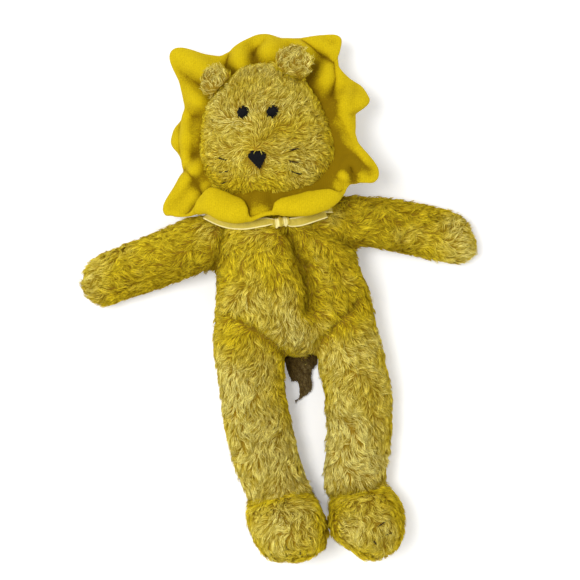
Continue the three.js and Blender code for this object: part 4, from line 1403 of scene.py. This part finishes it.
# Folds that run along the cloth: route across the toy and height in mm, and half width
MANE_CREASES = [
    ([(34.3, 162), (44.7, 150), (55.2, 140), (54, 129.3), (49.9, 117.9)], -4.0, 2.2),
    ([(38, 164), (49, 153), (59.5, 141), (58.5, 128), (55, 116)], 2.2, 2.4),
    ([(12.9, 161.6), (2.9, 154.6)], -3.0, 2.4),
    ([(-11.5, 157.8), (-19, 145.6)], -3.0, 2.4),
    ([(-53.3, 85.9), (-46.9, 76), (-45.3, 65.6)], -4.0, 2.0),
    ([(-50.3, 122), (-53.5, 107.6), (-55.4, 93.1)], -3.2, 1.6),
    ([(-46.5, 122), (-49.6, 107.6), (-51.5, 93.1)], 2.6, 2.4),
    ([(62.6, 124.4), (56.4, 108.6), (59.4, 91.1), (65.5, 71.8)], 3.0, 3.0),
    ([(49.6, 64.3), (51.4, 71.0), (54.6, 73.6), (58.4, 70.3), (59.3, 63.4)], 2.6, 3.0),
    ([(54, 60), (54, 68)], -4.5, 2.0),
]


def round_table(rows, angles):
    turns, values = np.array(rows, float).T
    around = np.concatenate([turns - 360, turns, turns + 360])
    return np.interp(angles, around, np.tile(values, 3))


def softened(values, rounds):
    for _ in range(rounds):
        values = 0.25 * np.roll(values, 1) + 0.5 * values + 0.25 * np.roll(values, -1)
    return values


def at_ends(rows):
    """The rows, with nothing added at the crown, where the turn begins and ends."""
    return [(-180, 0), *rows, (180, 0)]


def head_side(angle, height):
    """How far from the mane's middle the head's cloth lies, in mm in the head's frame."""
    way = Vector((math.cos(angle), math.sin(angle), 0))
    start = head_frame @ in_mm(MANE_MIDDLE[0] + 150 * way.x, MANE_MIDDLE[1] + 150 * way.y, height)
    hit = head_seen.ray_cast(start, head_frame.to_3x3() @ -way)
    return 150 - (hit[3] / MM if hit[0] else 105)


def off_by(degree, other):
    return (degree - other + 180) % 360 - 180


def seam_height(degree):
    """How high the mane's seam lies in the head's frame: far back at the crown, forwards at the chin."""
    at_chin = bell(off_by(degree, -90), 38)
    return 1.5 - 13 * math.sin(math.radians(degree)) + 10 * at_chin


def spoke(edge, roll, flop, root, height):
    """The cloth's path from its seam outwards, as (out, up) in mm, with any roll at its end."""
    reach = edge - root
    share = np.linspace(0, 1, 40)
    bend = math.radians(flop) * share ** 1.5
    out, up = np.cumsum(np.cos(bend)), np.cumsum(np.sin(bend))
    out, up = out / out[-1] * reach + root, up / out[-1] * reach + height
    if roll > 0:
        radius = min(5.4, 1.2 + 0.34 * roll)
        turn = math.pi * min(1, roll / 7)
        flat = share <= 1 - radius / reach
        out, up = out[flat], up[flat]
        arc = np.linspace(-math.pi / 2, -math.pi / 2 + turn, 16)[1:]
        middle = (out[-1], up[-1] + radius)
        out = np.concatenate([out, middle[0] + radius * np.cos(arc)])
        up = np.concatenate([up, middle[1] + radius * np.sin(arc)])
        back = np.linspace(0, max(roll - 4, 0), 12)[1:]
        heading = arc[-1] + math.pi / 2
        sink = 0.055 * back ** 2
        out = np.concatenate([out, out[-1] + back * math.cos(heading)])
        up = np.concatenate([up, up[-1] + back * math.sin(heading) - sink])
    walked = np.concatenate([[0], np.cumsum(np.hypot(np.diff(out), np.diff(up)))])
    even = np.linspace(0, walked[-1], MANE_ROWS)
    rolled = np.maximum(even - walked[np.argmax(out)], 0)
    return np.interp(even, walked, out), np.interp(even, walked, up), rolled


def mane_middle():
    """The middle of the two layers, as a grid of points in the head's frame, in mm."""
    degrees = np.linspace(-180, 180, MANE_SPOKES, endpoint=False)
    edges = softened(round_table(MANE_EDGE, degrees), 2)
    rolls = softened(round_table(at_ends(MANE_ROLLS), degrees), 6)
    flops = softened(round_table(MANE_FLOPS, degrees), 8)
    leans = softened(round_table(at_ends(MANE_LEANS), degrees), 6)
    roots = [head_side(math.radians(degree), seam_height(degree)) for degree in degrees]
    roots = softened(np.array(roots), 6) - MANE_TUCK
    grid = np.empty((MANE_SPOKES, MANE_ROWS, 3))
    share = np.linspace(0, 1, MANE_ROWS)
    free = smooth_step(share, 0, 0.15)
    for i, degree in enumerate(degrees):
        angle = math.radians(degree)
        out, up, rolled = spoke(edges[i], rolls[i], flops[i], roots[i], seam_height(degree))
        for fold, half, high, peak in MANE_FOLDS:
            up = up + high * bell(off_by(degree, fold), half) * bell(share - peak, 0.38) * free
        ripple = 0.7 * np.sin(angle * 17 + 3 * np.sin(angle * 3))
        up = up + ripple * smooth_step(share, 0.02, 0.15) * (1 - 0.75 * share)
        aside = leans[i] * rolled
        grid[i] = np.stack([MANE_MIDDLE[0] + out * math.cos(angle) - aside * math.sin(angle),
                            MANE_MIDDLE[1] + out * math.sin(angle) + aside * math.cos(angle), up], 1)
    seen = moved_by(head_frame, grid.reshape(-1, 3) * MM)
    rise = np.zeros(len(seen))
    for route, high, half in MANE_CREASES:
        rise += high * bell(way_to(seen, route)[0], half * MM)
    rise = softened(rise.reshape(MANE_SPOKES, MANE_ROWS), 1)
    grid[:, :, 2] += rise * smooth_step(share, 0.02, 0.2)
    return grid


# %% [markdown]
# The two layers are laid on either side of that middle, a little further apart away from their
# edges, and a rounded hem joins them. One round of subdivision smooths the cloth.

# %% Sewing the mane
LAYERS_APART = 1.9
HEM = 1.3
MANE_LOWEST = 0.6 * MM


def shade_of(mesh):
    found = np.empty(len(mesh.vertices))
    mesh.attributes["shade"].data.foreach_get("value", found)
    return found


def mane_shade():
    """How much painted shade lies over the grid: more near the face, and less, as painted light, on what has
    rolled forwards.
    """
    degrees = np.linspace(-180, 180, MANE_SPOKES, endpoint=False)
    share = np.linspace(0, 1, MANE_ROWS)
    rolled = np.minimum(1, round_table(at_ends(MANE_ROLLS), degrees) / 9)
    near_face = round_table(MANE_SHADE, degrees)[:, None] * (1 - smooth_step(share, 0.1, 0.75))
    return near_face - 0.7 * rolled[:, None] * smooth_step(share, 0.5, 0.7)


def mane_mesh():
    grid = mane_middle()
    around = np.roll(grid, -1, axis=0) - np.roll(grid, 1, axis=0)
    outwards = np.gradient(grid, axis=1)
    facing = unit(np.cross(outwards, around))
    share = np.linspace(0, 1, MANE_ROWS)[None, :, None]
    half = LAYERS_APART * (0.75 + 0.5 * np.sin(math.pi * np.clip(share, 0, 1)) ** 0.5)
    front, back = grid + facing * half, grid - facing * half
    hem = grid[:, -1:] + unit(outwards[:, -1:]) * HEM
    rings = np.concatenate([front, hem, back[:, ::-1]], axis=1)
    count = rings.shape[1]
    points = moved_by(head_frame, rings.reshape(-1, 3) * MM)
    points[:, 2] = np.maximum(points[:, 2], MANE_LOWEST)
    mesh = mesh_of("mane", points, tube_faces(MANE_SPOKES, count, joined=True))
    shade = mane_shade()
    keep_on_points(mesh, "shade", np.concatenate([shade, shade[:, -1:], shade[:, ::-1]], axis=1).ravel())
    mesh = finer(smooth_shaded(mesh), "mane")
    points = points_of(mesh)
    # The hollow attribute is painted shade: deeper colour in concave folds, where other cloth shuts the
    # velour in, near the face and at the listed places.
    hollow = ((relaxed(mesh, points, 60) - points) * normals_of(mesh)).sum(axis=1) / MM
    shut = shut_in(mesh, tree_of(mesh, head_skin, body_skin), SHUT_REACH)
    deep = 0.7 * hollow + 1.6 * (shut - 0.25) + shade_of(mesh)
    for place, reach, more in MANE_SHADED_PLACES:
        deep += more * bell_at(place, reach, points[:, 0] / MM, points[:, 1] / MM)
    keep_on_points(mesh, "hollow", np.clip(deep, -1, 1.6))
    return mesh


mane_cloth = mane_mesh()
pieces["mane_velour"] = object_of("mane_velour", mane_cloth)

# %% [markdown]
# Velour is a knit with a short dense nap. Its wales show as fine ribs, here running up the face, and
# the nap's tone varies in small flecks. Creases and folds get a painted shade of deeper gold.

# %% Velour


def velour(name, deep, bright, pale):
    finish = Finish(name)
    place = finish.place()
    turned = finish.add("ShaderNodeMapping", Vector=place, Rotation=(0, 0, HEAD_TURN))
    place = Wire(finish, turned.outputs[0])
    ribs = finish.add("ShaderNodeTexWave", place, Scale=250.0, Distortion=2.4, Detail=2.0, Detail_Scale=1.5)
    rib = Wire(finish, ribs.outputs["Fac"])
    nap = finish.noise(place, 1000.0, 3.0, 0.7)
    wide = finish.noise(place, 32.0, 3.0)
    # Painted shade: the hollow attribute mixes the velour towards its deep colour.
    tone = blended(finish, wide * 1.3 - 0.2 - finish.read("hollow") * 0.9, deep, bright)
    tone = blended(finish, nap * 1.9 - 0.72 - finish.read("hollow") * 0.5, tone, pale)
    tone = blended(finish, (rib * -1.0 + 1.0) * 0.1, tone, deep)
    height = finish.bump(rib * 0.2 + nap * 0.8, 0.3 * MM, 0.5)
    finish.set(Base_Color=tone, Roughness=0.9, Specular_IOR_Level=0.1, Normal=height)
    return finish.material


mane_cloth.materials.append(velour("mane_velour", paint(0.23, 0.14, 0.0), paint(0.47, 0.325, 0.001),
                                   paint(0.70, 0.52, 0.005)))

# %% [markdown]
# The ribbon is a sheer pale yellow one with a satin edge on both sides. Its band goes round the neck,
# and a flat knot on the chest lets two tails lie out over the pile. Each run is a strip swept along
# its route. The route lies on the pile, and a ray finds how high that is.

# %% Ribbon
RIBBON_HALF, RIBBON_THICK = 3.2, 0.3
PILE_REST = 5.6
RIBBON_FALL = 0.45
RIBBON_ROUTES = {
    "ribbon_tail_left": [(5.2, 41), (9.8, 40), (15.3, 39.7), (23.5, 40.6), (33, 42.2)],
    "ribbon_tail_right": [(0, 42.3), (-6.5, 43.5), (-13.3, 43.6), (-21.4, 43.7), (-31.8, 46.2),
                          (-39.2, 50.3), (-45.8, 55.6)],
}
RIBBON_STEPS, RIBBON_ROWS = 48, 9
body_seen = tree_of(body_skin)


def smooth_route(places, steps):
    places = np.array(places, float)
    at = np.linspace(0, len(places) - 1, steps)
    points = np.stack([np.interp(at, range(len(places)), values) for values in places.T], 1)
    for _ in range(steps // 3):
        points[1:-1] = 0.25 * points[:-2] + 0.5 * points[1:-1] + 0.25 * points[2:]
    return points


def height_on_body(x, y):
    hit = body_seen.ray_cast(in_mm(x, y, 150), Vector((0, 0, -1)))
    return hit[0].z / MM if hit[0] else 0.0


def ribbon_strip(name, middles, acrosses):
    """A closed flat strip through middle points, with its half width given as a vector at each."""
    middles, acrosses = np.array(middles), np.array(acrosses)
    runs = unit(np.gradient(middles, axis=0))
    ups = unit(np.cross(runs, unit(acrosses)))
    ups *= np.where(ups[:, 2:] < 0, -1, 1)
    share = np.linspace(-1, 1, RIBBON_ROWS)[None, :, None]
    sheet = middles[:, None] + acrosses[:, None] * share
    top = sheet + ups[:, None] * RIBBON_THICK / 2
    rings = np.concatenate([top, (sheet - ups[:, None] * RIBBON_THICK / 2)[:, ::-1]], axis=1)
    count = rings.shape[1]
    faces = tube_faces(len(middles), count)
    last = (len(middles) - 1) * count
    for k in range(RIBBON_ROWS - 1):
        faces.append((k + 1, k, count - 1 - k, count - 2 - k))
        faces.append((last + k, last + k + 1, last + count - 2 - k, last + count - 1 - k))
    mesh = mesh_of(name, rings.reshape(-1, 3) * MM, faces)
    edge = np.abs(np.concatenate([share[0, :, 0], share[0, ::-1, 0]]))
    keep_on_points(mesh, "edge", np.tile(edge, len(middles)))
    return turned_outwards(mesh)


def ribbon_tail(name, places):
    route = smooth_route(places, RIBBON_STEPS)
    runs = np.gradient(route, axis=0)
    middles, acrosses = [], []
    for i, ((x, y), (dx, dy)) in enumerate(zip(route, unit(runs))):
        share = i / (RIBBON_STEPS - 1)
        wave = 0.9 * math.sin(7 * share + 1) * smooth_step(share, 0.05, 0.3)
        height = height_on_body(x, y) + PILE_REST + wave
        if middles:
            step = math.hypot(x - middles[-1][0], y - middles[-1][1])
            height = max(height, middles[-1][2] - RIBBON_FALL * step)
        tilt = 0.35 * math.sin(5 * share + 0.6)
        gather = 0.5 + 0.5 * smooth_step(share, 0.0, 0.22)
        across = np.array((-dy * math.cos(tilt), dx * math.cos(tilt), math.sin(tilt)))
        middles.append((x, y, height))
        acrosses.append(across * RIBBON_HALF * gather)
    return ribbon_strip(name, middles, acrosses)


for name, places in RIBBON_ROUTES.items():
    pieces[name + "_satin"] = object_of(name + "_satin", ribbon_tail(name, places))

# %% [markdown]
# The knot is the ribbon wrapped once round itself and pulled tight, so its cloth runs over in pleats.
# The band is a strip round the foot of the neck, in the slanting plane of the neck's seam.

# %% Knot and band
KNOT_PLACE, KNOT_HALF = (2.4, 41.6), (6.0, 3.1, 2.6)
BAND_BELOW_SEAM = -2.5
BAND_STEPS = 96


def knot_mesh():
    rings, sides = 28, 40
    x0, y0 = KNOT_PLACE
    z0 = height_on_body(x0, y0) + PILE_REST
    points = []
    for i in range(rings):
        share = 2 * i / (rings - 1) - 1
        for k in range(sides):
            turn = 2 * math.pi * k / sides
            pinch = (1 - 0.22 * share ** 2) * (1 - abs(share) ** 9) ** 0.5 + 0.02
            pleat = 1 + 0.16 * math.cos(12 * share + 2.2 * math.sin(turn))
            pleat += 0.12 * math.cos(3 * turn + 6 * share)
            points.append(in_mm(x0 + share * KNOT_HALF[0] + 0.6 * math.sin(turn),
                                y0 + KNOT_HALF[1] * pinch * pleat * math.cos(turn),
                                z0 + KNOT_HALF[2] * pinch * pleat * math.sin(turn)))
    faces = tube_faces(rings, sides)
    faces.append(tuple(range(sides - 1, -1, -1)))
    faces.append(tuple(range((rings - 1) * sides, rings * sides)))
    mesh = mesh_of("knot", points, faces)
    keep_on_points(mesh, "edge", np.repeat(np.abs(np.sin(np.linspace(-3.4, 3.4, rings))), sides))
    return turned_outwards(mesh)


def neck_reach(way, down):
    """How far the neck's cloth lies from its own axis, in mm, in a plane below its seam."""
    start = head_frame @ (in_mm(0, -down, 0) + way * 0.12)
    hit = body_seen.ray_cast(start, head_frame.to_3x3() @ -way)
    return (0.12 - hit[3]) / MM if hit[0] else 0.0


def band_rest(way):
    """How high the band lies over the cloth: sunk into the pile except in front, in mm."""
    return 0.6 + 2.0 * smooth_step(way.z, 0.3, 0.9) - 3.2 * smooth_step(-way.z, 0.1, 0.6)


def band_mesh():
    turns = np.linspace(0, 2 * math.pi, BAND_STEPS, endpoint=False)
    ways = [Vector((math.cos(turn), 0, math.sin(turn))) for turn in turns]
    rows = []
    for down in (BAND_BELOW_SEAM - RIBBON_HALF, BAND_BELOW_SEAM + RIBBON_HALF):
        reach = [max(neck_reach(way, 6.0), neck_reach(way, 9.0) - 3) for way in ways]
        row = []
        for way, far in zip(ways, softened(np.array(reach), 8)):
            out = way * (far + band_rest(way) + 0.25 * down) * MM
            row.append(tuple(head_frame @ (in_mm(0, -down, 0) + out) / MM))
        rows.append(row)
    low, high = np.array(rows[0] + rows[0][:1]), np.array(rows[1] + rows[1][:1])
    return ribbon_strip("band", (low + high) / 2, (high - low) / 2)


pieces["ribbon_knot_satin"] = object_of("ribbon_knot_satin", knot_mesh())
pieces["neck_ribbon_satin"] = object_of("neck_ribbon_satin", band_mesh())

# %% [markdown]
# Sheer cloth lets the pile show through faintly. Its satin edges are closely woven, paler and shinier.

# %% The ribbon's cloth


def ribbon_cloth():
    finish = Finish("ribbon_satin")
    place = finish.place()
    satin = finish.out(finish.add("ShaderNodeMapRange", finish.read("edge"), 0.66, 0.8))
    weave = finish.noise(place, 2600.0, 1.0)
    pleat = finish.noise(place, 260.0, 2.0)
    tone = blended(finish, satin, paint(0.80, 0.64, 0.09), paint(0.98, 0.86, 0.36))
    # The pleat noise also makes the colour darker and lighter: painted shade of small pleats.
    finish.set(Base_Color=tone * (pleat * 0.4 + 0.8), Roughness=satin * -0.2 + 0.5, Specular_IOR_Level=0.25,
               Alpha=finish.number("MAXIMUM", satin, weave * 0.5 + 0.42),
               Normal=finish.bump(weave + pleat * 2.0, 0.2 * MM, 0.6))
    return finish.material


ribbon_satin = ribbon_cloth()
for name, piece in pieces.items():
    if name.endswith("_satin"):
        piece.data.materials.append(ribbon_satin)

# %% [markdown]
# A cut edge is closed once its pile is grown, so that each cloth is a shut bag. The limbs' pieces
# are fixed where they lie; the rest ride on their bodies.

# %% Closing the cloths and joining all but the limbs to their bodies
BENDS = {
    # limb: joint's parent, where the bend starts and where it ends, in mm from the middle
    "arm": ("torso", (46, 34.5, 30), (66, 34.5, 30)),
    "leg": ("torso", (35.5, -40, 30), (35.5, -68, 30)),
}
BODIES = {"ear": "head", "tail_tuft": "tail"}
HELD = {"torso": ["skin", "stuffing"], "arm": ["skin", "stuffing"], "leg": ["skin", "stuffing"],
        "foot": ["skin", "pellet_pouch"], "head": ["skin", "stuffing"]}


def body_of(part):
    return BODIES.get(part) or BODIES.get(kind_of(part)) or part


def closed(mesh):
    sack = bmesh.new()
    sack.from_mesh(mesh)
    edges = [edge for edge in sack.edges if edge.is_boundary]
    made = bmesh.ops.holes_fill(sack, edges=edges, sides=0)["faces"]
    bmesh.ops.triangulate(sack, faces=[face for face in made if face.is_valid])
    sack.to_mesh(mesh)
    sack.free()
    return smooth_shaded(mesh)


def join_to_body(piece, part):
    bend = BENDS.get(kind_of(part))
    if not bend:
        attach(piece, body_of(part))
        return
    parent, start, end = bend
    hand = 1 if part.endswith("left") else -1
    start, end = [(hand * x * MM, y * MM, z * MM) for x, y, z in (start, end)]
    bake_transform(piece)


for part, skin in cloths.items():
    for name in ("lie", "pile_length", "cover", "fade"):
        skin.attributes.remove(skin.attributes[name])
    cloth = object_of(f"{part}_cloth", closed(skin))
    skin.materials.clear()
    skin.materials.append(brown_backing if part == "tail_tuft" else golden_backing)
    nodes = [f"{part}_{held}" for held in HELD.get(kind_of(part), [])] or [part]
    if part == "torso":
        nodes.append("seat_pellet_pouch")
    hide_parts(*nodes)
    "brown_plush" if part == "tail_tuft" else "golden_plush"
    join_to_body(cloth, part)
    for name, piece in pieces.items():
        if name.startswith(part) and not (part == "tail" and name.startswith("tail_tuft")):
            "brown_plush" if part == "tail_tuft" else "golden_plush"
            join_to_body(piece, part)

# %% [markdown]
# The trim goes with what it is sewn to. The mane is the one sheet of cloth that is free at its edge.

# %% Joining the trim
TRIM_BODIES = {"eye": "head", "nose": "head", "whisker": "head", "mane": "head", "ribbon": "torso",
               "neck": "torso"}
TRIM_SLOTS = {"eye": "black_thread", "nose": "black_thread", "whisker": "brown_thread",
              "claw": "brown_thread", "mane": "mane_velour", "ribbon": "ribbon_satin",
              "neck": "ribbon_satin"}
for name, piece in pieces.items():
    kind = kind_of(name)
    if kind in TRIM_SLOTS:
        node = name.rsplit("_", 1)[0]
        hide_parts(node)
        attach(piece, TRIM_BODIES.get(kind) or f"foot_{node.split('_')[1]}")
